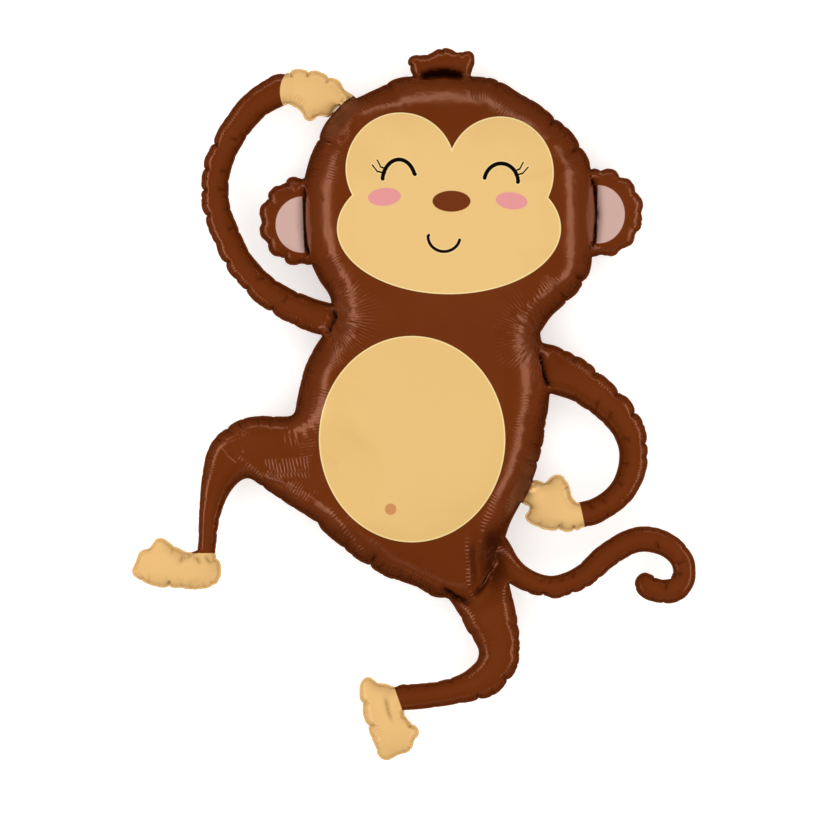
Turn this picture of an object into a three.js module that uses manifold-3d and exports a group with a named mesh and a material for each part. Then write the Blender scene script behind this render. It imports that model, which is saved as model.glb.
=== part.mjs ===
// A foil balloon in the shape of a dancing monkey, blown up and lying on its back.
// Two sheets of printed film are welded together all round, so the whole balloon is one
// cushion: a wide trunk for head and body, and narrow tubes for the limbs and the tail.
// X runs to the right of the figure as it is looked at, Y towards its head, Z up.
import * as THREE from 'three';
import { mergeVertices } from 'three/addons/utils/BufferGeometryUtils.js';
import Module from 'manifold-3d';

const wasm = await Module();
wasm.setup();

// Driving dimensions, in millimetres.
const balloonHeight = 1450; // tuft to toes, blown up
const trunkDepth = 320; // front to back through the head and the belly
const restSag = 7; // how far the back of the trunk lies flat on what carries it
const earDepth = 58; // front to back through an ear
const handDepth = 57;
const footDepth = 62;
const tuftDepth = 46;
const filmColour = '#6f3519';
const filmRoughness = 0.3;
const filmMetalness = 0.15;

// The pose and the outline are shares of the height, counted from the middle of the neck.
const outlineHeight = 1006;
const share = balloonHeight / outlineHeight;
const trunkHalfWidth = 206;
const tubeFlattening = 0.667; // a stretch as wide as the trunk fills to 0.6 of its width
const tubeFullness = 2; // exponent of a section, where 2 is an ellipse and more is fuller
const domeSteps = [0.55, 0.87]; // where the rings of a rounded end lie, as shares of its reach
const weldedDepth = 0.3; // share of its depth that a cushion keeps at a weld

// Stations down the trunk: height, left edge, right edge, share of the full depth.
const trunkStations = [
  [320, -88, 99, 0.44],
  [306, -127, 124, 0.58],
  [286, -151, 154, 0.71],
  [261, -168, 181, 0.82],
  [226, -183, 206, 0.91],
  [176, -195, 216, 0.99],
  [127, -196, 217, 1],
  [85, -188, 214, 0.96],
  [49, -171, 205, 0.91],
  [21, -154, 182, 0.87],
  [-7, -152, 151, 0.85],
  [-31, -166, 137, 0.86],
  [-56, -185, 145, 0.89],
  [-99, -199, 154, 0.94],
  [-148, -206, 149, 0.99],
  [-197, -200, 141, 1],
  [-247, -188, 123, 0.98],
  [-289, -178, 100, 0.9],
  [-331, -136, 85, 0.74],
  [-367, -82, 71, 0.55],
  [-388, -26, 59, 0.38],
];
const trunkShape = {
  sides: 28,
  spacing: 27,
  fullness: 2.35,
  level: true,
  start: { out: new THREE.Vector3(0, 1, 0), reach: 18 },
  end: { out: new THREE.Vector3(0.3, -1, 0), reach: 13 },
};

// Limbs: the middle line as [x, y, half width] from the root to the end. A weld across
// the root pinches the film there: at is a point on that weld, out points down the limb.
const limbs = {
  raisedArm: {
    line: [
      [-141, -8, 24], [-172, -4, 24], [-197, 6, 23], [-228, 21, 22], [-255, 41, 21],
      [-284, 74, 20], [-303, 113, 20], [-316, 148, 20], [-319, 183, 20], [-312, 219, 20],
      [-294, 255, 20], [-269, 289, 21], [-243, 309, 22], [-220, 320, 23],
    ],
    sides: 10,
    spacing: 22,
    weld: { at: [-154, -8], out: [-1, 0.1], length: 26 },
  },
  bentArm: {
    line: [
      [130, -66, 30], [152, -76, 34], [172, -83, 32], [196, -94, 29], [219, -112, 26],
      [243, -132, 25], [263, -159, 23], [272, -190, 21], [269, -219, 20], [258, -245, 19],
      [238, -265, 18], [214, -278, 18], [192, -283, 18],
    ],
    sides: 10,
    spacing: 20,
    weld: { at: [145, -66], out: [1, -0.3], length: 30 },
  },
  tail: {
    line: [
      [66, -318, 25], [85, -340, 20], [102, -361, 17], [127, -377, 16], [154, -384, 16],
      [179, -379, 16], [203, -367, 17], [226, -346, 18], [250, -329, 18], [275, -317, 18],
      [299, -317, 18], [322, -326, 17], [339, -343, 16], [344, -364, 16], [336, -384, 17],
      [317, -391, 17], [300, -387, 17], [291, -381, 18],
    ],
    sides: 8,
    spacing: 15,
    weld: { at: [76, -330], out: [0.7, -0.7], length: 26 },
  },
  kickingLeg: {
    line: [
      [-92, -237, 87], [-148, -220, 79], [-197, -206, 64], [-237, -193, 52],
      [-272, -187, 42], [-299, -204, 34], [-313, -230, 25], [-322, -260, 18],
      [-327, -289, 15], [-329, -317, 13], [-330, -340, 14],
    ],
    sides: 12,
    spacing: 22,
  },
  standingLeg: {
    line: [
      [38, -346, 48], [49, -374, 46], [60, -402, 41], [72, -433, 37], [82, -465, 30],
      [78, -495, 28], [55, -518, 25], [20, -530, 19], [-21, -537, 18], [-56, -539, 18],
    ],
    sides: 12,
    spacing: 19,
    weld: { at: [52, -388], out: [0.35, -0.95], length: 30 },
  },
};

// Hands, feet and tuft: flat pads. Each edge runs round the seam as [x, y] points.
const pads = {
  raisedHand: {
    centre: [-181, 313],
    depth: handDepth,
    edge: [
      [-214, 344], [-197, 346], [-181, 345], [-166, 341], [-154, 335], [-144, 331], [-138, 323],
      [-135, 316], [-127, 312], [-116, 299], [-133, 293], [-145, 295], [-152, 285], [-158, 279],
      [-166, 280], [-173, 280], [-178, 275], [-185, 273], [-192, 276], [-196, 285], [-202, 290],
      [-212, 296], [-223, 303], [-227, 317], [-224, 333],
    ],
  },
  hipHand: {
    centre: [164, -272],
    depth: handDepth,
    edge: [
      [164, -225], [173, -228], [181, -241], [185, -258], [192, -265], [203, -279], [202, -298],
      [193, -306], [179, -307], [162, -305], [145, -303], [133, -298], [123, -292], [118, -286],
      [121, -279], [126, -274], [124, -269], [117, -267], [110, -261], [118, -258], [126, -252],
      [118, -245], [118, -238], [127, -234], [138, -234], [145, -238], [151, -233], [157, -227],
    ],
  },
  kickingFoot: {
    centre: [-372, -358],
    depth: footDepth,
    edge: [
      [-396, -313], [-388, -317], [-379, -324], [-368, -330], [-357, -335], [-343, -333],
      [-329, -333], [-316, -340], [-311, -350], [-310, -362], [-312, -374], [-319, -382],
      [-331, -386], [-350, -388], [-361, -386], [-368, -384], [-375, -386], [-388, -386],
      [-402, -383], [-417, -378], [-429, -372], [-436, -364], [-435, -355], [-430, -347],
      [-428, -338], [-423, -332], [-412, -329], [-406, -322], [-402, -316],
    ],
  },
  standingFoot: {
    centre: [-73, -568],
    depth: footDepth,
    edge: [
      [-103, -510], [-96, -513], [-90, -518], [-78, -520], [-65, -525], [-55, -540],
      [-52, -559], [-49, -568], [-41, -573], [-34, -580], [-31, -588], [-34, -597], [-39, -602],
      [-39, -611], [-45, -617], [-54, -619], [-61, -621], [-68, -627], [-76, -629], [-85, -626],
      [-90, -619], [-92, -609], [-97, -599], [-102, -588], [-106, -577], [-110, -564],
      [-111, -554], [-115, -542], [-116, -529], [-113, -518], [-109, -512],
    ],
  },
  tuft: {
    centre: [0, 347],
    depth: tuftDepth,
    weld: { at: [1, 335], out: [0, 1], length: 14 },
    edge: [
      [-48, 351], [-47, 360], [-41, 365], [-31, 367], [-20, 367], [-13, 370], [-7, 374],
      [0, 377], [8, 377], [16, 374], [23, 370], [31, 372], [39, 372], [45, 370], [47, 362],
      [47, 354], [44, 346], [42, 336], [37, 323], [0, 320], [-34, 323], [-39, 336], [-45, 346],
    ],
  },
};
const padSides = 40;

// Ears: round pads whose edge is gathered into lobes.
const ears = [
  { centre: [226, 144], weld: { at: [214, 144], out: [1, 0], length: 24 } },
  { centre: [-197, 132], weld: { at: [-185, 132], out: [-1, 0], length: 24 } },
];
const earRadii = [61, 64];
const earLobes = 12;
const earSides = 36;
const lobeDepth = 0.07;

/** Half the depth that a stretch of the cushion fills to: the wider it is, the flatter. */
function filledDepth(halfWidth) {
  return halfWidth / (1 + (tubeFlattening * halfWidth) / trunkHalfWidth);
}

/** A closed surface from rings of equal size, with a pole before the first and one after the last. */
function skin(rings, firstPole, lastPole) {
  const sides = rings[0].length;
  const points = [firstPole, ...rings.flat(), lastPole];
  const last = points.length - 1;
  const at = (ring, side) => 1 + ring * sides + (side % sides);
  const index = [];
  for (let side = 0; side < sides; side += 1) {
    index.push(0, at(0, side + 1), at(0, side));
    index.push(last, at(rings.length - 1, side), at(rings.length - 1, side + 1));
    for (let ring = 0; ring + 1 < rings.length; ring += 1) {
      const corners = [at(ring, side), at(ring, side + 1), at(ring + 1, side + 1), at(ring + 1, side)];
      index.push(corners[0], corners[1], corners[2], corners[0], corners[2], corners[3]);
    }
  }
  const geometry = new THREE.BufferGeometry();
  const values = points.flatMap(({ x, y, z }) => [x, y, z]);
  geometry.setAttribute('position', new THREE.Float32BufferAttribute(values, 3));
  geometry.setIndex(index);
  return geometry;
}

/** One ring of a cushion: a superellipse across the middle line. */
function ring({ centre, across, halfWidth, halfDepth }, { sides, fullness }) {
  const bend = (value) => Math.sign(value) * Math.abs(value) ** (2 / fullness);
  return Array.from({ length: sides }, (_, side) => {
    const angle = (2 * Math.PI * side) / sides;
    const point = centre.clone().addScaledVector(across, halfWidth * bend(Math.cos(angle)));
    return point.setZ(halfDepth * bend(Math.sin(angle)));
  });
}

/** Rings that round off the end of a cushion, reaching out from its last section. */
function dome(section, { out, reach }, shape) {
  return domeSteps.map((step) => {
    const drawnIn = Math.sqrt(1 - step ** 2);
    const shrunk = {
      centre: section.centre.clone().addScaledVector(out, reach * step),
      across: section.across,
      halfWidth: section.halfWidth * drawnIn,
      halfDepth: section.halfDepth * drawnIn,
    };
    return ring(shrunk, shape);
  });
}

/** A cushion through stations of { x, y, halfWidth, halfDepth }, rounded at both ends. */
function cushion(stations, shape) {
  const middle = new THREE.CatmullRomCurve3(stations.map(({ x, y }) => new THREE.Vector3(x, y, 0)));
  const sizes = new THREE.CatmullRomCurve3(
    stations.map(({ halfWidth, halfDepth }, i) => new THREE.Vector3(i, halfWidth, halfDepth)),
  );
  const count = Math.round(middle.getLength() / shape.spacing);
  const sections = Array.from({ length: count + 1 }, (_, step) => {
    const t = middle.getUtoTmapping(step / count);
    const along = middle.getTangent(t);
    const across = shape.level ? new THREE.Vector3(1, 0, 0) : new THREE.Vector3(-along.y, along.x, 0);
    const { y: halfWidth, z: halfDepth } = sizes.getPoint(t);
    return { centre: middle.getPoint(t), along, across, halfWidth, halfDepth };
  });
  const first = sections[0];
  const last = sections[count];
  const start = shape.start ?? { out: first.along.clone().negate(), reach: first.halfWidth };
  const end = shape.end ?? { out: last.along, reach: last.halfWidth };
  const rings = [
    ...dome(first, start, shape).reverse(),
    ...sections.map((section) => ring(section, shape)),
    ...dome(last, end, shape),
  ];
  const pole = ({ centre }, { out, reach }) => centre.clone().addScaledVector(out, reach);
  return skin(rings, pole(first, start), pole(last, end));
}

/** Head, neck and body as one cushion with level sections. */
function trunk() {
  const fullDepth = trunkDepth / 2 / share;
  const stations = trunkStations.map(([y, left, right, fill]) => ({
    x: (left + right) / 2,
    y,
    halfWidth: (right - left) / 2,
    halfDepth: fill * fullDepth,
  }));
  return cushion(stations, trunkShape);
}

/** A limb as a cushion along its middle line, pinched where a weld crosses it. */
function limb({ line, sides, spacing, weld }) {
  const stations = line.map(([x, y, halfWidth]) => {
    return { x, y, halfWidth, halfDepth: filledDepth(halfWidth) };
  });
  const tube = cushion(stations, { sides, spacing, fullness: tubeFullness });
  return weld ? pinch(tube, weld) : tube;
}

/** A flat pad inside a closed edge: the same edge at several levels, drawn in to two poles. */
function pad(centre, edge, depth) {
  const levels = [145, 112, 90, 68, 35];
  const halfDepth = depth / 2 / share;
  const middle = new THREE.Vector3(...centre, 0);
  const rings = levels.map((level) => {
    const tilt = THREE.MathUtils.degToRad(level);
    return edge.map((point) => {
      const drawn = middle.clone().lerp(point, Math.sin(tilt));
      return drawn.setZ(halfDepth * Math.cos(tilt));
    });
  });
  const pole = (height) => middle.clone().setZ(height);
  return skin(rings, pole(-halfDepth), pole(halfDepth));
}

/** A smooth closed edge through hand-set points. */
function edgeThrough(points) {
  const flat = points.map(([x, y]) => new THREE.Vector3(x, y, 0));
  const anticlockwise = THREE.ShapeUtils.isClockWise(flat) ? flat.reverse() : flat;
  const curve = new THREE.CatmullRomCurve3(anticlockwise, true);
  return curve.getSpacedPoints(padSides).slice(0, padSides);
}

/** An oval edge gathered into equal lobes with a sharp fold between them. */
function lobedEdge(centre) {
  return Array.from({ length: earSides }, (_, side) => {
    const angle = (2 * Math.PI * side) / earSides;
    const drawn = 1 - lobeDepth * (1 - Math.abs(Math.sin((earLobes * angle) / 2)));
    const x = centre[0] + earRadii[0] * drawn * Math.cos(angle);
    const y = centre[1] + earRadii[1] * drawn * Math.sin(angle);
    return new THREE.Vector3(x, y, 0);
  });
}

/** Flattens a cushion towards the weld across its root, as the film does where two chambers meet. */
function pinch(geometry, weld) {
  const position = geometry.getAttribute('position');
  const out = new THREE.Vector2(...weld.out).normalize();
  for (let i = 0; i < position.count; i += 1) {
    const past = (position.getX(i) - weld.at[0]) * out.x + (position.getY(i) - weld.at[1]) * out.y;
    const open = THREE.MathUtils.smoothstep(past, 0, weld.length);
    position.setZ(i, position.getZ(i) * THREE.MathUtils.lerp(weldedDepth, 1, open));
  }
  return geometry;
}

/** A solid of a closed geometry that is already in millimetres. */
function solid(geometry) {
  const merged = mergeVertices(geometry);
  const vertProperties = new Float32Array(merged.getAttribute('position').array);
  const triVerts = new Uint32Array(merged.getIndex().array);
  return new wasm.Manifold(new wasm.Mesh({ numProp: 3, vertProperties, triVerts }));
}

/** Every chamber of the balloon, drawn in shares of the height, as solids that overlap. */
function chambers() {
  const drawn = [trunk(), ...Object.values(limbs).map(limb)];
  for (const { centre, edge, depth, weld } of Object.values(pads)) {
    const flat = pad(centre, edgeThrough(edge), depth);
    drawn.push(weld ? pinch(flat, weld) : flat);
  }
  for (const { centre, weld } of ears) {
    drawn.push(pinch(pad(centre, lobedEdge(centre), earDepth), weld));
  }
  return drawn.map((geometry) => solid(geometry.scale(share, share, share)));
}

/** What the balloon rests on: a block that its back is flattened against. */
function floorBlock() {
  const size = 2 * balloonHeight;
  const top = restSag - trunkDepth / 2;
  const block = new THREE.BoxGeometry(size, size, size).translate(0, 0, top - size / 2);
  block.deleteAttribute('normal');
  block.deleteAttribute('uv');
  return solid(block);
}

/** The whole balloon as one mesh, standing on the middle of its bounding box's underside. */
function balloon() {
  const whole = wasm.Manifold.union(chambers());
  const { vertProperties, triVerts } = whole.subtract(floorBlock()).getMesh();
  const geometry = new THREE.BufferGeometry();
  geometry.setAttribute('position', new THREE.BufferAttribute(vertProperties, 3));
  geometry.setIndex(new THREE.BufferAttribute(triVerts, 1));
  geometry.computeBoundingBox();
  const { min, max } = geometry.boundingBox;
  geometry.translate(-(min.x + max.x) / 2, -(min.y + max.y) / 2, -min.z);
  const film = new THREE.MeshStandardMaterial({
    color: filmColour,
    roughness: filmRoughness,
    metalness: filmMetalness,
  });
  const mesh = new THREE.Mesh(geometry, film);
  mesh.name = 'foil_balloon';
  return mesh;
}

const figure = new THREE.Group();
figure.add(balloon());
export default figure;
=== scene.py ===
"""Makes the looks of a blown-up foil balloon in the shape of a dancing monkey, lying on its back.

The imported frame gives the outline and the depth. The film is made again over them, with
its gathered seam, its pleats and its printed picture.
"""

from __future__ import annotations

import logging
import math
from dataclasses import dataclass, field
from enum import Enum
from typing import Any, Iterable, Sequence

import bmesh
import bpy
import numpy as np
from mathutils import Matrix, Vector
from mathutils.bvhtree import BVHTree
from mathutils.geometry import delaunay_2d_cdt
from mathutils.kdtree import KDTree


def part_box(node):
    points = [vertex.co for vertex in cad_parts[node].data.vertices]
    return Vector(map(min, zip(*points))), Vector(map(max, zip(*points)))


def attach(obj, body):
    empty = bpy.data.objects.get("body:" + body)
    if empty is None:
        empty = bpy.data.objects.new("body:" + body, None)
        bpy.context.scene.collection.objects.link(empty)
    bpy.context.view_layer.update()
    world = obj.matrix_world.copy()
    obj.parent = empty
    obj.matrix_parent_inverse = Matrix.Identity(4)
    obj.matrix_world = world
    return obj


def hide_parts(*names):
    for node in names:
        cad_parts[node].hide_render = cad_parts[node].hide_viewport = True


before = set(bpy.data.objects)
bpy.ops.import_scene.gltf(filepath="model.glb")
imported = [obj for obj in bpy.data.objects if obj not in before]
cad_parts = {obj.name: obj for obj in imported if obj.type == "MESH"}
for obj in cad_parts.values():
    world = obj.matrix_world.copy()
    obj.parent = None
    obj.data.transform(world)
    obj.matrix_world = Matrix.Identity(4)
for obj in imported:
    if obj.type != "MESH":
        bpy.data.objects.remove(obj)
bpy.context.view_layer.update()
LOG = logging.getLogger("foil_balloon")
Array = np.ndarray

NODE = "foil_balloon"
BODY = "root"
SPACING = 0.0030
NARROWEST = 0.01
ROUND_FOLD = 0.01
FOLD_REACH = 4.0
NECK_RIGHT = (0.256, 0.140)
NECK_LEFT = (-0.171, 0.175)


def smoothstep(value: Array, low: float, high: float) -> Array:
    """Rises smoothly from 0 at low to 1 at high.

    Args:
        value: What is compared.
        low: Where the rise starts.
        high: Where it ends.

    Returns:
        The risen share, as many numbers as value has.
    """
    share = np.clip((value - low) / (high - low), 0.0, 1.0)
    return share * share * (3.0 - 2.0 * share)


def within(place: Array, spots: Iterable[tuple[float, float, float]]) -> bool:
    """Tells if a flat place lies in one of the round spots, each given as x, y and radius."""
    return any(math.dist(place, spot[:2]) < spot[2] for spot in spots)


def turned_left(vectors: Array) -> Array:
    """Turns flat vectors by a quarter turn to the left."""
    return np.stack([-vectors[:, 1], vectors[:, 0]], axis=1)


def unit(vectors: Array) -> Array:
    """Scales each vector to a length of one."""
    return vectors / np.maximum(np.linalg.norm(vectors, axis=1, keepdims=True), 1e-12)


@dataclass
class Loops:
    """Closed flat loops of points, with the film on their left.

    Attributes:
        rings: The points of each loop, in metres.
    """

    rings: list[Array]
    points: Array = field(init=False)
    following: Array = field(init=False)
    previous: Array = field(init=False)
    arc: Array = field(init=False)
    inward: Array = field(init=False)
    tree: KDTree = field(init=False)

    def __post_init__(self) -> None:
        """Works out neighbours, arc lengths and the direction into the film."""
        self.points = np.concatenate(self.rings)
        following, arc, start, base = [], [], 0, 0.0
        for ring in self.rings:
            count = len(ring)
            following.append(start + (np.arange(count) + 1) % count)
            steps = np.linalg.norm(np.roll(ring, -1, axis=0) - ring, axis=1)
            arc.append(base + np.concatenate([[0.0], np.cumsum(steps)[:-1]]))
            start += count
            base += float(steps.sum())
        self.following = np.concatenate(following)
        self.arc = np.concatenate(arc)
        self.previous = np.empty_like(self.following)
        self.previous[self.following] = np.arange(len(self.following))
        self.inward = turned_left(unit(self.points[self.following] - self.points[self.previous]))
        self.tree = KDTree(len(self.points))
        for index, (x, y) in enumerate(self.points.tolist()):
            self.tree.insert((x, y, 0.0), index)
        self.tree.balance()

    def nearest(self, places: Array) -> tuple[Array, Array, Array]:
        """Finds the nearest place on the loops.

        Args:
            places: Flat points.

        Returns:
            For each point the distance, the arc length there and the index of a loop point.
        """
        index = np.array([self.tree.find((x, y, 0.0))[1] for x, y in places.tolist()], dtype=int)
        distance = np.linalg.norm(places - self.points[index], axis=1)
        arc = self.arc[index]
        for start in (index, self.previous[index]):
            span = self.points[self.following[start]] - self.points[start]
            length = np.maximum(np.linalg.norm(span, axis=1), 1e-9)
            share = ((places - self.points[start]) * span).sum(axis=1) / length**2
            share = np.clip(share, 0.0, 1.0)
            foot = self.points[start] + share[:, None] * span
            away = np.linalg.norm(places - foot, axis=1)
            closer = away < distance
            distance = np.where(closer, away, distance)
            arc = np.where(closer, self.arc[start] + share * length, arc)
        return distance, arc, index

    def smoothed(self, values: Array, rounds: int) -> Array:
        """Averages values along the loops.

        Args:
            values: One number or row for each loop point.
            rounds: How many times a point is averaged with its two neighbours.

        Returns:
            The smoothed values.
        """
        for _ in range(rounds):
            values = 0.5 * values + 0.25 * (values[self.following] + values[self.previous])
        return values

    def bend(self) -> Array:
        """Measures how sharply the loop turns, in 1/m, positive where it bulges outward."""
        ahead = self.points[self.following] - self.points
        behind = self.points - self.points[self.previous]
        cross = behind[:, 0] * ahead[:, 1] - behind[:, 1] * ahead[:, 0]
        dot = (behind * ahead).sum(axis=1)
        length = 0.5 * (np.linalg.norm(ahead, axis=1) + np.linalg.norm(behind, axis=1))
        return np.arctan2(cross, dot) / np.maximum(length, 1e-6)

    def widest(self, gap: Array, index: Array) -> Array:
        """Measures how far the middle of the film is from each loop point.

        Args:
            gap: Distance of points that fill the film from the loops.
            index: The loop point that each is nearest to.

        Returns:
            The half width of the chamber at each loop point.
        """
        width = np.zeros(len(self.points))
        np.maximum.at(width, index, gap)
        for _ in range(3):
            width = np.maximum(width, np.maximum(width[self.following], width[self.previous]))
        return np.maximum(self.smoothed(width, 6), 0.006)


def spread(ring: Array, spacing: float) -> Array:
    """Spaces the points of a closed ring evenly.

    Args:
        ring: The points in order.
        spacing: The wanted distance between neighbours.

    Returns:
        The new points.
    """
    closed = np.vstack([ring, ring[:1]])
    arc = np.concatenate([[0.0], np.cumsum(np.linalg.norm(np.diff(closed, axis=0), axis=1))])
    count = max(8, round(arc[-1] / spacing))
    stations = np.arange(count) * arc[-1] / count
    return np.stack([np.interp(stations, arc, closed[:, axis]) for axis in range(2)], axis=1)


@dataclass(frozen=True)
class OutlineReader:
    """Reads the balloon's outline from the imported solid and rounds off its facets.

    Attributes:
        node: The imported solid.
        height: Height of the seam above the floor.
        spacing: Distance between the points of the outline.
        corner: A turn into the film that is sharper than this stays a corner.
        merge: Points that are closer than this become one.
        fillets: Places, with their reach, where an inner corner is rounded off.
        smallest_gap: Length of a gap's edge below which the film closes over it.
    """

    node: bpy.types.Object
    height: float
    spacing: float = SPACING
    corner: float = math.radians(48)
    merge: float = 0.003
    fillets: tuple[tuple[float, float, float], ...] = ((-0.330, -0.148, 0.060), (-0.240, -0.028, 0.030))
    smallest_gap: float = 0.2

    def filleted(self, ring: Array) -> Array:
        """Rounds off the inner corners that the film bridges."""
        for x, y, reach in self.fillets:
            weight = 1.0 - smoothstep(np.linalg.norm(ring - (x, y), axis=1), 0.4 * reach, reach)
            for _ in range(round(reach * 1400)):
                mean = 0.5 * (np.roll(ring, 1, axis=0) + np.roll(ring, -1, axis=0))
                ring = ring + 0.5 * weight[:, None] * (mean - ring)
        return ring

    def slice(self) -> list[Array]:
        """Cuts the solid at the seam, and gives the cut's closed loops in order."""
        solid = bmesh.new()
        solid.from_mesh(self.node.data)
        bmesh.ops.remove_doubles(solid, verts=solid.verts, dist=1e-5)
        cut = bmesh.ops.bisect_plane(
            solid,
            geom=[*solid.verts, *solid.edges, *solid.faces],
            plane_co=(0.0, 0.0, self.height),
            plane_no=(0.0, 0.0, 1.0),
            dist=1e-6,
        )
        solid.edges.index_update()
        left = {item for item in cut["geom_cut"] if isinstance(item, bmesh.types.BMEdge)}
        loops = []
        while left:
            edge = min(left, key=lambda item: item.index)
            left.discard(edge)
            first, here = edge.verts
            loop = [first]
            while here is not first:
                loop.append(here)
                onward = [item for item in here.link_edges if item in left]
                left.discard(onward[0])
                here = onward[0].other_vert(here)
            loops.append(np.array([vertex.co[:2] for vertex in loop]))
        solid.free()
        return loops

    def smooth_ring(self, ring: Array) -> Array:
        """Draws a curve through a ring of facet corners, sharp only at corners into the film.

        Args:
            ring: The loop as cut, with the film on its left.

        Returns:
            The evenly spaced points of the curve.
        """
        kept = [ring[0]]
        for point in ring[1:]:
            if np.linalg.norm(point - kept[-1]) >= self.merge:
                kept.append(point)
        if np.linalg.norm(kept[-1] - kept[0]) < self.merge:
            kept.pop()
        knots = np.array(kept)
        ahead = np.roll(knots, -1, axis=0) - knots
        behind = np.roll(ahead, 1, axis=0)
        long_ahead = np.linalg.norm(ahead, axis=1)
        long_behind = np.linalg.norm(behind, axis=1)
        cross = behind[:, 0] * ahead[:, 1] - behind[:, 1] * ahead[:, 0]
        turn = np.arctan2(cross, (behind * ahead).sum(axis=1))
        sharp = turn < -self.corner
        mean = (ahead / long_ahead[:, None]) * long_behind[:, None]
        mean += (behind / long_behind[:, None]) * long_ahead[:, None]
        slope = mean / (long_ahead + long_behind)[:, None]
        leaving = np.where(sharp[:, None], ahead / long_ahead[:, None], slope)
        arriving = np.where(sharp[:, None], behind / long_behind[:, None], slope)
        curve = []
        for index, knot in enumerate(knots):
            after = (index + 1) % len(knots)
            steps = max(1, round(4 * long_ahead[index] / self.spacing))
            t = (np.arange(steps) / steps)[:, None]
            start = knot * (2 * t**3 - 3 * t**2 + 1) + knots[after] * (3 * t**2 - 2 * t**3)
            leave = leaving[index] * long_ahead[index] * (t**3 - 2 * t**2 + t)
            arrive = arriving[after] * long_ahead[index] * (t**3 - t**2)
            curve.append(start + leave + arrive)
        return spread(np.concatenate(curve), self.spacing)

    def read(self) -> Loops:
        """Reads, turns and smooths every loop: the outside first, then the gaps inside it."""
        rings = []
        for ring in self.slice():
            after = np.roll(ring, -1, axis=0)
            area = 0.5 * float((ring[:, 0] * after[:, 1] - after[:, 0] * ring[:, 1]).sum())
            rings.append((abs(area), area, ring))
        rings.sort(key=lambda entry: -entry[0])
        smooth = []
        for place, (_, area, ring) in enumerate(rings):
            turned = ring[::-1] if (area > 0) == (place > 0) else ring
            turned = np.roll(turned, -int(turned[:, 1].argmin()), axis=0)
            ring = self.filleted(self.smooth_ring(turned))
            if len(ring) * self.spacing > self.smallest_gap:
                smooth.append(ring)
        return Loops(smooth)


def inset(loops: Loops, distance: float, spacing: float) -> Loops:
    """Moves loops into the film by a distance.

    Args:
        loops: The loops to move.
        distance: How far.
        spacing: Distance between the new points.

    Returns:
        The moved loops, without the stretches that would cross each other.
    """
    rings = []
    start = 0
    for ring in loops.rings:
        part = slice(start, start + len(ring))
        moved = loops.points[part] + loops.inward[part] * distance
        away, _, _ = loops.nearest(moved)
        rings.append(spread(moved[away > 0.93 * distance], spacing))
        start += len(ring)
    return Loops(rings)


@dataclass
class Triangles:
    """A flat triangle mesh.

    Attributes:
        points: The flat points.
        faces: Three point numbers for each triangle, anticlockwise.
    """

    points: Array
    faces: Array

    def corner_weights(self) -> tuple[Array, Array, Array]:
        """Gives each side's two ends and the cotangent of the angle across from it."""
        ends_a, ends_b, weights = [], [], []
        for corner in range(3):
            tip = self.faces[:, corner]
            left = self.faces[:, (corner + 1) % 3]
            right = self.faces[:, (corner + 2) % 3]
            u = self.points[left] - self.points[tip]
            v = self.points[right] - self.points[tip]
            cross = np.abs(u[:, 0] * v[:, 1] - u[:, 1] * v[:, 0])
            weights.append(0.5 * (u * v).sum(axis=1) / np.maximum(cross, 1e-12))
            ends_a.append(left)
            ends_b.append(right)
        return np.concatenate(ends_a), np.concatenate(ends_b), np.concatenate(weights)

    def areas(self) -> Array:
        """Gives each point a third of the area of its triangles."""
        a, b, c = (self.points[self.faces[:, corner]] for corner in range(3))
        cross = np.abs((b - a)[:, 0] * (c - a)[:, 1] - (b - a)[:, 1] * (c - a)[:, 0])
        share = np.repeat(cross / 6.0, 3)
        return np.bincount(self.faces.reshape(-1), share, len(self.points))

    def blended(self, values: Array, held: Array, length: Array) -> Array:
        """Evens out values over the mesh, over about a length, and keeps zero where held.

        Args:
            values: One number for each point.
            held: True where the value stays zero.
            length: How far the evening out reaches at each point.

        Returns:
            The evened values.
        """
        a, b, weight = self.corner_weights()
        mass = self.areas()
        count = len(self.points)
        weight = weight * length[a] * length[b]

        def applied(x: Array) -> Array:
            x = np.where(held, 0.0, x)
            flow = weight * (x[a] - x[b])
            total = mass * x + np.bincount(a, flow, count) - np.bincount(b, flow, count)
            return np.where(held, 0.0, total)

        diagonal = mass + np.bincount(a, weight, count) + np.bincount(b, weight, count)
        diagonal = np.maximum(diagonal, 1e-12)
        answer = np.where(held, 0.0, values)
        rest = np.where(held, 0.0, mass * values) - applied(answer)
        scaled = rest / diagonal
        search = scaled.copy()
        size = float(rest @ scaled)
        goal = size * 1e-8
        for _ in range(400):
            if size <= goal:
                break
            push = applied(search)
            step = size / float(search @ push)
            answer = answer + step * search
            rest = rest - step * push
            scaled = rest / diagonal
            grown = float(rest @ scaled)
            search = scaled + (grown / size) * search
            size = grown
        return answer


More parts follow.
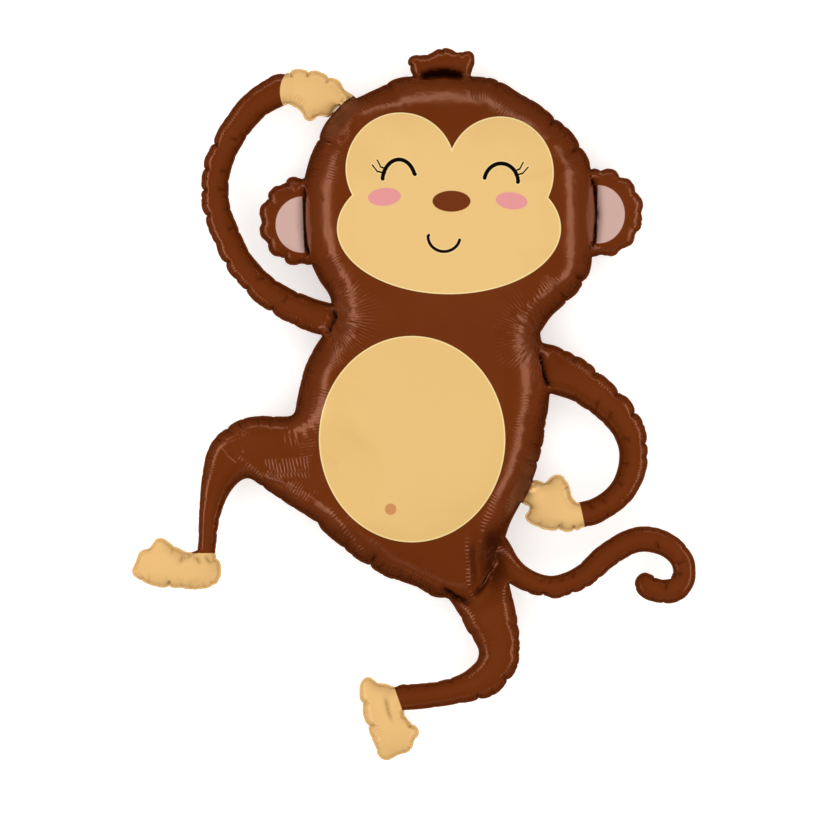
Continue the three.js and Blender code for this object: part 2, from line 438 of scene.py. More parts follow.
@dataclass(frozen=True)
class FilmMesher:
    """Fills the seam's loops with triangles that are fine at the seam and coarse inside.

    Attributes:
        loops: The seam.
        rise: Wanted distance, along the film, between the rows next to the seam.
        swell: Radius to which the film bulges next to the seam.
        coarse: Spacing where the film is smooth.
        fine_band: Width of the band along the seam that keeps the fine spacing.
        growth: How much wider each next row is, from there inward.
        spots: Places, with their radius, where the film is made finer still.
        spot_spacing: Spacing there.
    """

    loops: Loops
    rise: float = 0.0036
    swell: float = 0.045
    coarse: float = 0.0100
    fine_band: float = 0.024
    growth: float = 1.12
    spots: tuple[tuple[float, float, float], ...] = ()
    spot_spacing: float = 0.0021

    def row_distances(self) -> list[float]:
        """Gives the distances of the rows from the seam, seen from above."""
        rows = []
        count = 1
        while True:
            distance = (count * self.rise) ** 2 / (2.0 * self.swell)
            if rows and distance - rows[-1] > self.rise:
                break
            rows.append(distance)
            count += 1
        while rows[-1] < self.fine_band:
            rows.append(rows[-1] + self.rise)
        gap = self.rise
        while gap < 0.85 * self.coarse:
            gap *= self.growth
            rows.append(rows[-1] + gap)
        return rows

    def candidates(self) -> tuple[Array, Array]:
        """Gives flat points and the room that each of them wants."""
        places, rooms = [], []
        rows = self.row_distances()
        for spot_x, spot_y, radius in self.spots:
            steps = np.arange(-radius, radius, self.spot_spacing)
            square = np.array([(x + spot_x, y + spot_y) for x in steps for y in steps])
            near = np.linalg.norm(square - (spot_x, spot_y), axis=1) < radius
            square = square[near]
            away, _, index = self.loops.nearest(square)
            side = ((square - self.loops.points[index]) * self.loops.inward[index]).sum(axis=1)
            square = square[(side > 0) & (away > 0.5 * self.rise)]
            places.append(square)
            rooms.append(np.full(len(square), 0.8 * self.spot_spacing))
        for number, distance in enumerate(rows):
            moved = self.loops.points + self.loops.inward * distance
            away, _, _ = self.loops.nearest(moved)
            clear = moved[away > 0.96 * distance]
            gap = distance - rows[number - 1] if number else distance
            places.append(clear)
            rooms.append(np.full(len(clear), 0.62 * (self.rise if gap < self.rise else gap)))
        low = self.loops.points.min(axis=0)
        high = self.loops.points.max(axis=0)
        across = np.arange(low[0], high[0], self.coarse)
        upward = np.arange(low[1], high[1], self.coarse * math.sqrt(0.75))
        shift = self.coarse / 2
        grid = np.array([(x + (row % 2) * shift, y) for row, y in enumerate(upward) for x in across])
        away, _, index = self.loops.nearest(grid)
        inside = ((grid - self.loops.points[index]) * self.loops.inward[index]).sum(axis=1) > 0
        deep = inside & (away > rows[-1] + 0.4 * self.coarse)
        places.append(grid[deep])
        rooms.append(np.full(int(deep.sum()), 0.6 * self.coarse))
        return np.concatenate(places), np.concatenate(rooms)

    def thinned(self, places: Array, rooms: Array) -> Array:
        """Leaves out each point that stands too close to one that is already kept."""
        cell = float(rooms.max())
        kept: dict[tuple[int, int], list[tuple[float, float]]] = {}
        chosen = []
        for (x, y), room in zip(places.tolist(), rooms.tolist()):
            column, row = int(x // cell), int(y // cell)
            limit = room * room
            crowded = any(
                (x - other_x) ** 2 + (y - other_y) ** 2 < limit
                for dx in (-1, 0, 1)
                for dy in (-1, 0, 1)
                for other_x, other_y in kept.get((column + dx, row + dy), ())
            )
            if not crowded:
                kept.setdefault((column, row), []).append((x, y))
                chosen.append((x, y))
        return np.array(chosen)

    def mesh(self) -> Triangles:
        """Makes the triangles, with the seam's own points first."""
        inner = self.thinned(*self.candidates())
        seam = self.loops.points
        vectors = [Vector(point) for point in np.concatenate([seam, inner]).tolist()]
        edges = [(index, int(after)) for index, after in enumerate(self.loops.following)]
        found = delaunay_2d_cdt(vectors, edges, [], 1, 1e-7)
        points = np.array([tuple(vertex) for vertex in found[0]])
        faces = np.array([tuple(face) for face in found[2] if len(face) == 3])
        middle = points[faces].mean(axis=1)
        _, _, index = self.loops.nearest(middle)
        side = ((middle - seam[index]) * self.loops.inward[index]).sum(axis=1)
        faces = faces[side > 0]
        a, b, c = (points[faces[:, corner]] for corner in range(3))
        cross = (b - a)[:, 0] * (c - a)[:, 1] - (b - a)[:, 1] * (c - a)[:, 0]
        faces = np.where((cross < 0)[:, None], faces[:, ::-1], faces)
        return Triangles(points, faces)


@dataclass(frozen=True)
class Crease:
    """One valley in the film that starts at the seam and runs into it.

    Attributes:
        arc: Where it starts, as arc length along the seam.
        depth: How deep it is at the seam.
        width: How wide its wall is at the seam.
        opening: How much wider it gets for each metre inward.
        slant: How far it leans along the seam for each metre inward.
        length: How far it runs in.
    """

    arc: float
    depth: float
    width: float
    opening: float
    slant: float
    length: float


@dataclass(frozen=True)
class Fold:
    """One ridge or valley that passes through places on the film, in metres.

    Attributes:
        path: The places that it passes through.
        height: How high it stands, or how deep it lies where negative.
        width: How far its sides reach.
        full_ends: True if it is as strong at its ends as in its middle, fading only within about 2 cm of the
            weld to a tenth.
        shade: How dark the painted shade in it is, from 0 to 1.
    """

    path: tuple[tuple[float, float], ...]
    height: float
    width: float
    full_ends: bool = False
    shade: float = 0.0


@dataclass(frozen=True)
class Gathers:
    """Lays out the creases where the flat film is gathered by its own seam.

    Attributes:
        pitch: Distance between two main creases on the narrowest chamber.
        pitch_growth: How much that distance grows with the chamber's half width.
        scallop: Depth of a main crease as a share of the distance between two.
        straight: Bend of the seam, in 1/m, below which hardly anything is gathered.
        round: Bend of the seam, in 1/m, from which the film is fully gathered.
        lobe: Bend of the seam, in 1/m, past which it has lobes of its own instead.
        tick_pitch: Distance between two short creases on the inside of a bend.
        inner_corner: Bend of the seam, in 1/m, past which nothing is gathered.
        ruffled: Places, with their reach, where a straight edge is ruffled all the same.
        calm: Places, with their reach, where the edge runs smooth although it bends.
        wide: Half width from which a chamber is taut and its creases stay shallow.
        deepest_wide: Depth of the deepest crease on such a chamber.
        deepest: Depth of the deepest crease on the others.
        sharp_width: Width of the sharp bottom of a main crease.
        seed: Start of the random numbers.
    """

    pitch: float = 0.048
    pitch_growth: float = 0.10
    scallop: float = 0.150
    straight: float = 0.2
    round: float = 4.2
    lobe: float = 12.0
    tick_pitch: float = 0.044
    inner_corner: float = -9.0
    ruffled: tuple[tuple[float, float, float], ...] = ((0.272, -0.020, 0.040), (0.255, -0.095, 0.045))
    calm: tuple[tuple[float, float, float], ...] = (
        (-0.232, 0.053, 0.060),
        (-0.285, -0.025, 0.048),
        (-0.422, -0.118, 0.036),
        (-0.398, -0.246, 0.055),
        (-0.425, -0.246, 0.055),
        (-0.345, 0.615, 0.085),
        (0.460, -0.262, 0.090),
        (0.561, -0.348, 0.045),
    )
    wide: float = 0.1
    deepest_wide: float = 0.0055
    deepest: float = 0.0075
    sharp_width: float = 0.0030
    seed: int = 7

    def strength(self, seam: Loops) -> Array:
        """Gives how strongly fine pleats show at each loop point, from 0 to 1."""
        bend = seam.smoothed(seam.bend(), 60)
        outer = smoothstep(bend, self.straight, self.round)
        inner = smoothstep(-bend, 0.5, 3.0) * (1.0 - smoothstep(-bend, 8.0, 14.0))
        return 0.30 + 0.70 * np.maximum(outer, inner)

    def creases(self, seam: Loops, width: Array) -> list[Crease]:
        """Lays main creases with finer ones between them along every loop.

        Args:
            seam: The loops of the film.
            width: Half width of the chamber at each loop point.

        Returns:
            The creases.
        """
        rng = np.random.default_rng(self.seed)
        bend = seam.smoothed(seam.bend(), 140)
        wide = seam.smoothed(width, 60)
        found: list[Crease] = []
        start = 0
        for ring in seam.rings:
            part = slice(start, start + len(ring))
            arcs = seam.arc[part]
            total = arcs[-1] - arcs[0] + np.linalg.norm(ring[-1] - ring[0])
            place = float(arcs[0]) + 0.01
            while place < arcs[0] + total - 0.008:
                half = float(np.interp(place, arcs, wide[part]))
                turn = float(np.interp(place, arcs, bend[part]))
                gather = float(smoothstep(np.array(turn), self.straight, self.round))
                gather *= 1.0 - 0.8 * float(smoothstep(np.array(turn), 0.6 * self.lobe, self.lobe))
                here = np.array([np.interp(place, arcs, ring[:, axis]) for axis in range(2)])
                step = (self.pitch + self.pitch_growth * half) * rng.uniform(0.5, 1.45)
                step *= 0.75 + 0.25 * gather
                if within(here, self.ruffled):
                    gather, step = 0.9, 0.45 * step
                if within(here, self.calm):
                    gather = 0.0
                laid = self.main_crease(rng, place, step, half, gather)
                if turn > self.inner_corner:
                    found += laid
                place += step
            place = float(arcs[0]) + 0.01
            while place < arcs[0] + total - 0.008:
                half = float(np.interp(place, arcs, wide[part]))
                turn = float(np.interp(place, arcs, bend[part]))
                if self.inner_corner < turn < -0.5 and half < self.wide:
                    found += self.tick(rng, place, half)
                place += self.tick_pitch * rng.uniform(0.6, 1.5)
            start += len(ring)
        return found

    def main_crease(
        self, rng: np.random.Generator, place: float, step: float, half: float, gather: float
    ) -> list[Crease]:
        """Lays one main crease and the finer ones up to the next.

        Args:
            rng: The random numbers.
            place: Arc length of the crease.
            step: Distance to the next.
            half: Half width of the chamber.
            gather: How strongly the film is gathered here, from 0 to 1.

        Returns:
            The creases.
        """
        deepest = self.deepest_wide if half > self.wide else self.deepest
        depth = min(deepest, self.scallop * step * (0.10 + 0.90 * gather) * rng.uniform(0.55, 1.2))
        reach = min(0.80 * half, rng.uniform(0.020, 0.045) + 0.12 * half)
        slant = rng.normal(0.0, 0.20)
        laid = [Crease(place, depth, 0.26 * step, 0.05, slant, reach)]
        sharp = depth * rng.uniform(0.45, 0.85)
        laid.append(Crease(place, sharp, self.sharp_width, 0.05, slant, 0.7 * reach))
        for _ in range(int(rng.integers(2, 5))):
            aside = place + step * rng.uniform(0.12, 0.88)
            fine = (0.0004 + 0.16 * depth) * rng.uniform(0.5, 1.5)
            run = min(0.7 * half, rng.uniform(0.012, 0.05))
            lean = slant + rng.normal(0.0, 0.25)
            laid.append(Crease(aside, fine, rng.uniform(0.0025, 0.0045), 0.06, lean, run))
        return laid

    def tick(self, rng: np.random.Generator, place: float, half: float) -> list[Crease]:
        """Lays a short forked crease on the inside of a bend."""
        depth = rng.uniform(0.0010, 0.0020)
        reach = half * rng.uniform(0.35, 0.7)
        lean = rng.normal(0.0, 0.3)
        fork = rng.choice([-1.0, 1.0]) * rng.uniform(0.35, 0.7)
        return [
            Crease(place, depth, 0.0034, 0.05, lean, reach),
            Crease(place + 0.003, 0.7 * depth, 0.003, 0.05, lean + fork, 0.8 * reach),
        ]


@dataclass
class FilmSkin:
    """The film of the balloon as one closed skin.

    Attributes:
        seam: The loops where front and back are welded.
        flat: The triangles of one side, seen from above.
        seam_height: Height of the weld above the floor.
        evening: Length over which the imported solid's depth is evened out.
        fullness: How much fuller than an ellipse the film stands near the weld.
        swelling: How far the film bulges between creases, as a share of their depth.
        floor_softness: How softly the back rounds off where it meets the floor.
        gathers: The rule for the creases along the weld.
        folds: The larger folds.
        soft_spots: Places, with radius and extra length, where chambers run into each other softly.
    """

    seam: Loops
    flat: Triangles
    seam_height: float
    gathers: Gathers
    folds: Sequence[Fold]
    soft_spots: Sequence[tuple[float, float, float, float]] = ()
    evening: float = 0.011
    fullness: float = 0.16
    swelling: float = 0.35
    floor_softness: float = 0.004
    arc: Array = field(init=False)
    gap: Array = field(init=False)
    half_width: Array = field(init=False)
    creases: list[Crease] = field(init=False)
    shade: Array = field(init=False)
    pleats: Array = field(init=False)
    points: Array = field(init=False)
    faces: Array = field(init=False)

    def solid_depth(self) -> Array:
        """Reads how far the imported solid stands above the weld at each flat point."""
        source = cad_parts[NODE].data
        corners = [vertex.co.copy() for vertex in source.vertices]
        faces = [tuple(polygon.vertices) for polygon in source.polygons]
        tree = BVHTree.FromPolygons(corners, faces)
        down = Vector((0.0, 0.0, -1.0))
        depth = np.zeros(len(self.flat.points))
        for index, (x, y) in enumerate(self.flat.points.tolist()):
            hit, _, _, _ = tree.ray_cast(Vector((x, y, 1.0)), down)
            if hit is not None:
                depth[index] = max(0.0, hit.z - self.seam_height)
        return depth

    def closed(self, depth: Array) -> None:
        """Joins a front and a back sheet of this depth at the weld."""
        held = len(self.seam.points)
        count = len(self.flat.points)
        front = np.column_stack([self.flat.points, self.seam_height + depth])
        back = np.column_stack([self.flat.points, self.seam_height - depth])[held:]
        self.points = np.concatenate([front, back])
        mirrored = self.flat.faces[:, ::-1]
        mirrored = np.where(mirrored >= held, mirrored + count - held, mirrored)
        self.faces = np.concatenate([self.flat.faces, mirrored])

    def normals(self) -> Array:
        """Gives the outward direction at each point of the skin."""
        a, b, c = (self.points[self.faces[:, corner]] for corner in range(3))
        cross = np.cross(b - a, c - a)
        total = np.zeros_like(self.points)
        for corner in range(3):
            np.add.at(total, self.faces[:, corner], cross)
        return unit(total)

    def gathered(self) -> Array:
        """Works out how far the creases along the weld move each flat point."""
        move = np.zeros(len(self.flat.points))
        starts = np.cumsum([0, *[len(ring) for ring in self.seam.rings]])
        for low, high in zip(starts[:-1], starts[1:]):
            first = float(self.seam.arc[low])
            last = float(self.seam.arc[high - 1])
            span = last - first + float(np.linalg.norm(self.seam.points[low] - self.seam.points[high - 1]))
            mine = (self.arc >= first - 1e-9) & (self.arc < first + span + 1e-9)
            arc, gap, half = self.arc[mine], self.gap[mine], self.half_width[mine]
            total = np.zeros(len(arc))
            for crease in self.creases:
                if not first <= crease.arc < first + span:
                    continue
                away = (arc - crease.arc - crease.slant * gap + 0.5 * span) % span - 0.5 * span
                reach = crease.width + crease.opening * gap
                near = (np.abs(away) < 5 * reach) & (gap < crease.length)
                if not near.any():
                    continue
                x = np.abs(away[near]) / reach[near]
                valley = np.exp(-x) * (1.0 - 0.25 * x)
                fade = 1.0 - smoothstep(gap[near], 0.15 * crease.length, crease.length)
                total[near] -= crease.depth * valley * fade
            rim = 1.0 - smoothstep(gap, 0.0, 0.85 * half)
            starts_here = [c.arc for c in self.creases if c.width > 0.006 and first <= c.arc < first + span]
            depths_here = [c.depth for c in self.creases if c.width > 0.006 and first <= c.arc < first + span]
            swelling = np.interp(arc, starts_here, depths_here) if starts_here else 0.0
            swelling = self.swelling * swelling * (1.0 - smoothstep(gap, 0.0, 0.05))
            move[mine] = (total + swelling) * rim
        return move

    def folded(self) -> Array:
        """Works out how far the larger folds move each flat point, and notes how dark the painted shade in
        them is.
        """
        move = np.zeros(len(self.flat.points))
        self.shade = np.zeros(len(move))
        for fold in self.folds:
            path = np.array(fold.path)
            best = np.full(len(move), np.inf)
            along = np.zeros(len(move))
            spans = np.linalg.norm(np.diff(path, axis=0), axis=1)
            total = float(spans.sum())
            base = 0.0
            for start, end, span in zip(path[:-1], path[1:], spans):
                share = ((self.flat.points - start) @ (end - start)) / span**2
                share = np.clip(share, 0.0, 1.0)
                foot = start + share[:, None] * (end - start)
                away = np.linalg.norm(self.flat.points - foot, axis=1)
                closer = away < best
                best = np.where(closer, away, best)
                along = np.where(closer, (base + share * span) / total, along)
                base += span
            ends = smoothstep(along, 0.0, 0.3) * (1.0 - smoothstep(along, 0.6, 1.0))
            inner = smoothstep(self.gap, 0.0, 0.006)
            at_weld = 0.1 + 0.9 * smoothstep(self.gap, 0.002, 0.020)
            strength = at_weld if fold.full_ends else ends * inner
            x = best / fold.width
            round_bottom = fold.width > ROUND_FOLD
            profile = np.exp(-1.7 * x * x) if round_bottom else np.exp(-1.6 * x)
            move += fold.height * profile * strength * (best < FOLD_REACH * fold.width)
            # Painted shade in the fold.
            dark = fold.shade * np.exp(-0.8 * x * x) * strength
            self.shade = np.maximum(self.shade, dark)
        return move

    def build(self) -> None:
        """Makes the blown-up, gathered and folded skin."""
        self.gap, self.arc, index = self.seam.nearest(self.flat.points)
        width = self.seam.widest(self.gap, index)
        self.half_width = width[index]
        self.creases = self.gathers.creases(self.seam, width)
        held = np.zeros(len(self.flat.points), dtype=bool)
        held[: len(self.seam.points)] = True
        reach = np.full(len(held), self.evening)
        for x, y, radius, length in self.soft_spots:
            away = np.linalg.norm(self.flat.points - (x, y), axis=1)
            reach += length * (1.0 - smoothstep(away, 0.2 * radius, radius))
        square = self.flat.blended(self.solid_depth() ** 2, held, reach)
        aside = 1.0 - np.clip(self.gap / np.maximum(self.half_width, NARROWEST), 0.0, 1.0)
        nothing = np.zeros(len(held), dtype=bool)
        near = np.full(len(held), 0.012)
        fuller = self.flat.blended(self.fullness * smoothstep(aside, 0.15, 0.95), nothing, near)
        self.closed(np.sqrt(np.maximum(square, 0.0)) * (1.0 + fuller))
        front = self.gathered() + self.folded()
        # Painted shade: the deep places between creases darken the colour as well as the folds' own shade.
        self.shade = np.maximum(self.shade, self.valleys(front))
        rim = 1.0 - smoothstep(self.gap / np.maximum(self.half_width, NARROWEST), 0.35, 0.85)
        self.pleats = self.gathers.strength(self.seam)[index] * rim * self.unbroken()
        back = front[len(self.seam.points) :]
        self.points += self.normals() * np.concatenate([front, back])[:, None]
        low = self.points[:, 2]
        self.points[:, 2] = 0.5 * (low + np.sqrt(low * low + self.floor_softness**2))

    def valleys(self, move: Array) -> Array:
        """Marks with 1 where the film lies deep between two folds, with 0 where it lies open: how dark the
        painted shade is there, weaker at the weld.
        """
        nowhere = np.zeros(len(move), dtype=bool)
        deep = np.zeros(len(move))
        for length, least, full in ((0.006, 0.0006, 0.0040), (0.018, 0.0016, 0.0062)):
            even = self.flat.blended(move, nowhere, np.full(len(move), length))
            deep = np.maximum(deep, smoothstep(even - move, least, full))
        return deep * (0.4 + 0.6 * smoothstep(self.gap, 0.002, 0.012))

    def unbroken(self) -> Array:
        """Marks with 1 the flat points round which the arc length changes evenly, with 0 the others."""
        broken = np.zeros(len(self.flat.points))
        for corner in range(3):
            a, b = self.flat.faces[:, corner], self.flat.faces[:, (corner + 1) % 3]
            span = np.linalg.norm(self.flat.points[a] - self.flat.points[b], axis=1)
            leap = (np.abs(self.arc[a] - self.arc[b]) > 2.2 * span + 0.001).astype(float)
            np.maximum.at(broken, a, leap)
            np.maximum.at(broken, b, leap)
        for _ in range(3):
            wider = broken.copy()
            for corner in range(3):
                a, b = self.flat.faces[:, corner], self.flat.faces[:, (corner + 1) % 3]
                np.maximum.at(wider, a, 0.75 * broken[b])
                np.maximum.at(wider, b, 0.75 * broken[a])
            broken = wider
        return 1.0 - broken

    def weld_line(self) -> list[Array]:
        """Gives the weld's loops as they lie after the gathering."""
        starts = np.cumsum([0, *[len(ring) for ring in self.seam.rings]])
        return [self.points[low:high] for low, high in zip(starts[:-1], starts[1:])]


def plain_object(name: str, points: Array, faces: Iterable[Sequence[int]]) -> bpy.types.Object:
    """Makes a mesh object at the origin.

    Args:
        name: Its name.
        points: Its points, in metres.
        faces: The point numbers of its faces.

    Returns:
        The object, linked to the scene.
    """
    mesh = bpy.data.meshes.new(name)
    mesh.from_pydata(points.tolist(), [], [tuple(map(int, face)) for face in faces])
    mesh.validate()
    made = bpy.data.objects.new(name, mesh)
    bpy.context.scene.collection.objects.link(made)
    return made


class NodeTree:
    """Adds nodes to one tree."""

    def __init__(self, tree: bpy.types.NodeTree) -> None:
        """Keeps the tree.

        Args:
            tree: The material's or modifier's tree.
        """
        self.tree = tree

    def node(self, kind: str, settings: dict[str, Any], inputs: dict[Any, Any]) -> bpy.types.Node:
        """Adds a node, sets it and fills its sockets.

        Args:
            kind: The type of node.
            settings: The node's own settings, such as its operation.
            inputs: Values or links, by the name or number of the socket.

        Returns:
            The node.
        """
        made = self.tree.nodes.new(kind)
        for name, value in settings.items():
            setattr(made, name, value)
        for key, value in inputs.items():
            socket = made.inputs[key]
            if isinstance(value, Value):
                value = value.socket
            if isinstance(value, bpy.types.NodeSocket):
                self.tree.links.new(value, socket)
            else:
                socket.default_value = value
        return made

    def value(self, kind: str, settings: dict[str, Any], inputs: dict[Any, Any], output: Any = 0) -> Value:
        """Adds a node and wraps one of its outputs."""
        return Value(self, self.node(kind, settings, inputs).outputs[output])


class Value:
    """One socket, with sums on it that add Math nodes."""

    def __init__(self, tree: NodeTree, socket: bpy.types.NodeSocket) -> None:
        """Keeps the socket and the tree it is in.

        Args:
            tree: Where the Math nodes go.
            socket: The output that holds the number.
        """
        self.tree = tree
        self.socket = socket

    def math(self, operation: str, *others: Any, clamp: bool = False) -> Value:
        """Adds one Math node.

        Args:
            operation: Its operation.
            others: Its second and third number.
            clamp: True to keep the result between 0 and 1.

        Returns:
            The result.
        """
        inputs = dict(enumerate((self, *others)))
        settings = {"operation": operation, "use_clamp": clamp}
        return self.tree.value("ShaderNodeMath", settings, inputs)

    def reflected(self, operation: str, first: float) -> Value:
        """Adds one Math node with a plain number before this one."""
        return self.tree.value("ShaderNodeMath", {"operation": operation}, {0: first, 1: self})

    def __add__(self, other: Any) -> Value:
        """Adds."""
        return self.math("ADD", other)

    def __radd__(self, other: float) -> Value:
        """Adds to a plain number."""
        return self.reflected("ADD", other)

    def __sub__(self, other: Any) -> Value:
        """Subtracts."""
        return self.math("SUBTRACT", other)

    def __rsub__(self, other: float) -> Value:
        """Subtracts from a plain number."""
        return self.reflected("SUBTRACT", other)

    def __mul__(self, other: Any) -> Value:
        """Multiplies."""
        return self.math("MULTIPLY", other)

    def __rmul__(self, other: float) -> Value:
        """Multiplies a plain number."""
        return self.reflected("MULTIPLY", other)

    def __truediv__(self, other: Any) -> Value:
        """Divides."""
        return self.math("DIVIDE", other)

    def __abs__(self) -> Value:
        """Drops the sign."""
        return self.math("ABSOLUTE")

    def __and__(self, other: Any) -> Value:
        """Keeps what is inside both shapes, given as distances."""
        return self.math("MAXIMUM", other)

    def __or__(self, other: Any) -> Value:
        """Keeps what is inside either shape, given as distances."""
        return self.math("MINIMUM", other)

    def inside(self, blur: float) -> Value:
        """Turns a distance to a shape's edge into 1 inside and 0 outside.

        Args:
            blur: Width of the soft edge.

        Returns:
            The mask.
        """
        return self.math("MULTIPLY_ADD", -1.0 / blur, 0.5, clamp=True)


@dataclass(frozen=True)
class Oval:
    """An ellipse on the print, in metres.

    Attributes:
        x: Its middle, to the side.
        y: Its middle, upwards.
        wide: Half of its width.
        high: Half of its height.
        tilt: How far it is turned, in degrees.
    """

    x: float
    y: float
    wide: float
    high: float
    tilt: float = 0.0

    def distance(self, x: Value, y: Value) -> Value:
        """Gives the distance to its edge, negative inside."""
        across, up = x - self.x, y - self.y
        if self.tilt:
            cosine, sine = math.cos(math.radians(self.tilt)), math.sin(math.radians(self.tilt))
            across, up = across * cosine + up * sine, up * cosine - across * sine
        near = across * (1.0 / self.wide), up * (1.0 / self.high)
        far = near[0] * (1.0 / self.wide), near[1] * (1.0 / self.high)
        size = (near[0] * near[0] + near[1] * near[1]).math("SQRT")
        slope = (far[0] * far[0] + far[1] * far[1]).math("SQRT").math("MAXIMUM", 1e-4)
        return size * (size - 1.0) / slope


@dataclass(frozen=True)
class Stroke:
    """A straight stroke with round ends on the print, in metres.

    Attributes:
        start: One end.
        end: The other end.
        thickness: Its width.
    """

    start: tuple[float, float]
    end: tuple[float, float]
    thickness: float

    def distance(self, x: Value, y: Value) -> Value:
        """Gives the distance to its edge, negative inside."""
        dx, dy = self.end[0] - self.start[0], self.end[1] - self.start[1]
        square = dx * dx + dy * dy
        across, up = x - self.start[0], y - self.start[1]
        share = (across * (dx / square) + up * (dy / square)).math("MINIMUM", 1.0).math("MAXIMUM", 0.0)
        across, up = across - share * dx, up - share * dy
        return (across * across + up * up).math("SQRT") - self.thickness / 2

    def marks(self, x: Value, y: Value, wander: Value) -> Value:
        """Gives 1 on the stroke and 0 beside it, for a glint along a sharp fold."""
        return self.distance(x + wander * 0.004, y + wander * 0.003).inside(0.0028) * 1.1


@dataclass(frozen=True)
class Cut:
    """A straight border, in metres: what lies left of the way from one place to the other is kept."""

    start: tuple[float, float]
    end: tuple[float, float]

    def distance(self, x: Value, y: Value) -> Value:
        """Gives the distance to the border, negative on the left."""
        dx, dy = self.end[0] - self.start[0], self.end[1] - self.start[1]
        length = math.hypot(dx, dy)
        offset = (self.start[0] * dy - self.start[1] * dx) / length
        return x * (dy / length) - y * (dx / length) - offset


@dataclass(frozen=True)
class Arch:
    """A curved line with round ends: the part of an oval's edge on one side of a border.

    Attributes:
        oval: The oval whose edge is drawn.
        border: The border that cuts it, left side kept.
        thickness: The line's width.
    """

    oval: Oval
    border: Cut
    thickness: float

    def distance(self, x: Value, y: Value) -> Value:
        """Gives the distance to its edge, negative inside."""
        line = abs(self.oval.distance(x, y)) - self.thickness / 2
        drawn = line & self.border.distance(x, y)
        for end in (self.border.start, self.border.end):
            drawn = drawn | Stroke(end, (end[0], end[1] + 0.0001), self.thickness).distance(x, y)
        return drawn


class Ink(Enum):
    """The colours of the inks."""

    BROWN = (112, 50, 16)
    BROWN_WORN = (120, 56, 21)
    FACE = (218, 182, 119)
    BELLY = (215, 179, 115)
    PALE_LINE = (232, 208, 149)
    DARK_LINE = (66, 28, 10)
    PAW = (220, 179, 117)
    EAR = (195, 162, 154)
    CHEEK = (213, 141, 142)
    NOSE = (103, 46, 15)
    NAVEL = (191, 133, 83)
    # Painted highlight: the colour of the glints along fine ridges.
    PAINTED_GLINT = (172, 116, 92)
    BLACK = (12, 7, 6)

    @property
    def linear(self) -> tuple[float, float, float, float]:
        """Gives the colour as Blender counts it."""
        parts = [part / 255.0 for part in self.value]
        curved = [part / 12.92 if part <= 0.04045 else ((part + 0.055) / 1.055) ** 2.4 for part in parts]
        return (curved[0], curved[1], curved[2], 1.0)


@dataclass(frozen=True)
class Picture:
    """Where the parts of the printed picture are, in metres."""

    face: tuple[Oval, ...] = (
        Oval(-0.0275, 0.475, 0.1105, 0.113),
        Oval(0.1743, 0.467, 0.1077, 0.113),
        Oval(0.0705, 0.354, 0.226, 0.133),
    )
    belly: Oval = Oval(-0.004, -0.071, 0.188, 0.208)
    navel: Oval = Oval(-0.047, -0.212, 0.0116, 0.0116)
    nose: Oval = Oval(0.0755, 0.408, 0.0383, 0.0212)
    cheeks: tuple[Oval, ...] = (
        Oval(-0.0595, 0.417, 0.0333, 0.0182, 5.0),
        Oval(0.1965, 0.409, 0.0323, 0.0172, -6.0),
    )
    lines: tuple[Arch, ...] = (
        Arch(Oval(-0.0305, 0.448, 0.0332, 0.0443), Cut((-0.0630, 0.4535), (0.0017, 0.4626)), 0.0082),
        Arch(Oval(0.1755, 0.446, 0.0343, 0.0382), Cut((0.1423, 0.4552), (0.2092, 0.4470)), 0.0082),
        Arch(Oval(0.0605, 0.337, 0.0322, 0.0302), Cut((0.0918, 0.3300), (0.0297, 0.3395)), 0.0062),
    )
    lashes: tuple[Stroke, ...] = (
        Stroke((-0.0545, 0.4730), (-0.0670, 0.4775), 0.0036),
        Stroke((-0.0670, 0.4775), (-0.0740, 0.4915), 0.0030),
        Stroke((-0.0575, 0.4650), (-0.0740, 0.4685), 0.0036),
        Stroke((-0.0740, 0.4685), (-0.0840, 0.4815), 0.0030),
        Stroke((0.2010, 0.4680), (0.2130, 0.4735), 0.0036),
        Stroke((0.2130, 0.4735), (0.2200, 0.4865), 0.0030),
        Stroke((0.2040, 0.4610), (0.2190, 0.4645), 0.0036),
        Stroke((0.2190, 0.4645), (0.2300, 0.4770), 0.0030),
    )
    ears: tuple[tuple[Oval, Cut], ...] = (
        (Oval(0.374, 0.385, 0.054, 0.059), Cut((0.374, 0.500), (0.370, 0.300))),
        (Oval(-0.226, 0.364, 0.055, 0.057), Cut((-0.222, 0.300), (-0.230, 0.500))),
    )


Shape = Oval | Stroke | Cut | Arch


@dataclass(frozen=True)
class Ticks:
    """Short fine ridges side by side along a way, where the film is pulled tight, in metres, with a painted
    highlight on each.

    Attributes:
        start: Where the row starts.
        end: Where it ends.
        length: Length of each line.
        pitch: Distance between two lines.
        lean: How far each line leans along the row for each metre of its length.
        strength: How strong they are, in their painted highlight and in their bump.
    """

    start: tuple[float, float]
    end: tuple[float, float]
    length: float
    pitch: float
    lean: float = 0.0
    strength: float = 0.7

    def marks(self, x: Value, y: Value, wander: Value) -> Value:
        """Gives 1 on the lines and 0 between them."""
        dx, dy = self.end[0] - self.start[0], self.end[1] - self.start[1]
        total = math.hypot(dx, dy)
        across, up = x - self.start[0], y - self.start[1]
        along = across * (dx / total) + up * (dy / total)
        aside = up * (dx / total) - across * (dy / total)
        wave = ((along + aside * self.lean) * (2.0 * math.pi / self.pitch) + wander * 5.0).math("SINE")
        in_row = (abs(along - total / 2) - total / 2).inside(0.012)
        in_line = (abs(aside + wander * 0.004) - self.length / 2).inside(0.005)
        return (wave - 0.25).math("MULTIPLY", 1.6, clamp=True) * in_row * in_line * self.strength


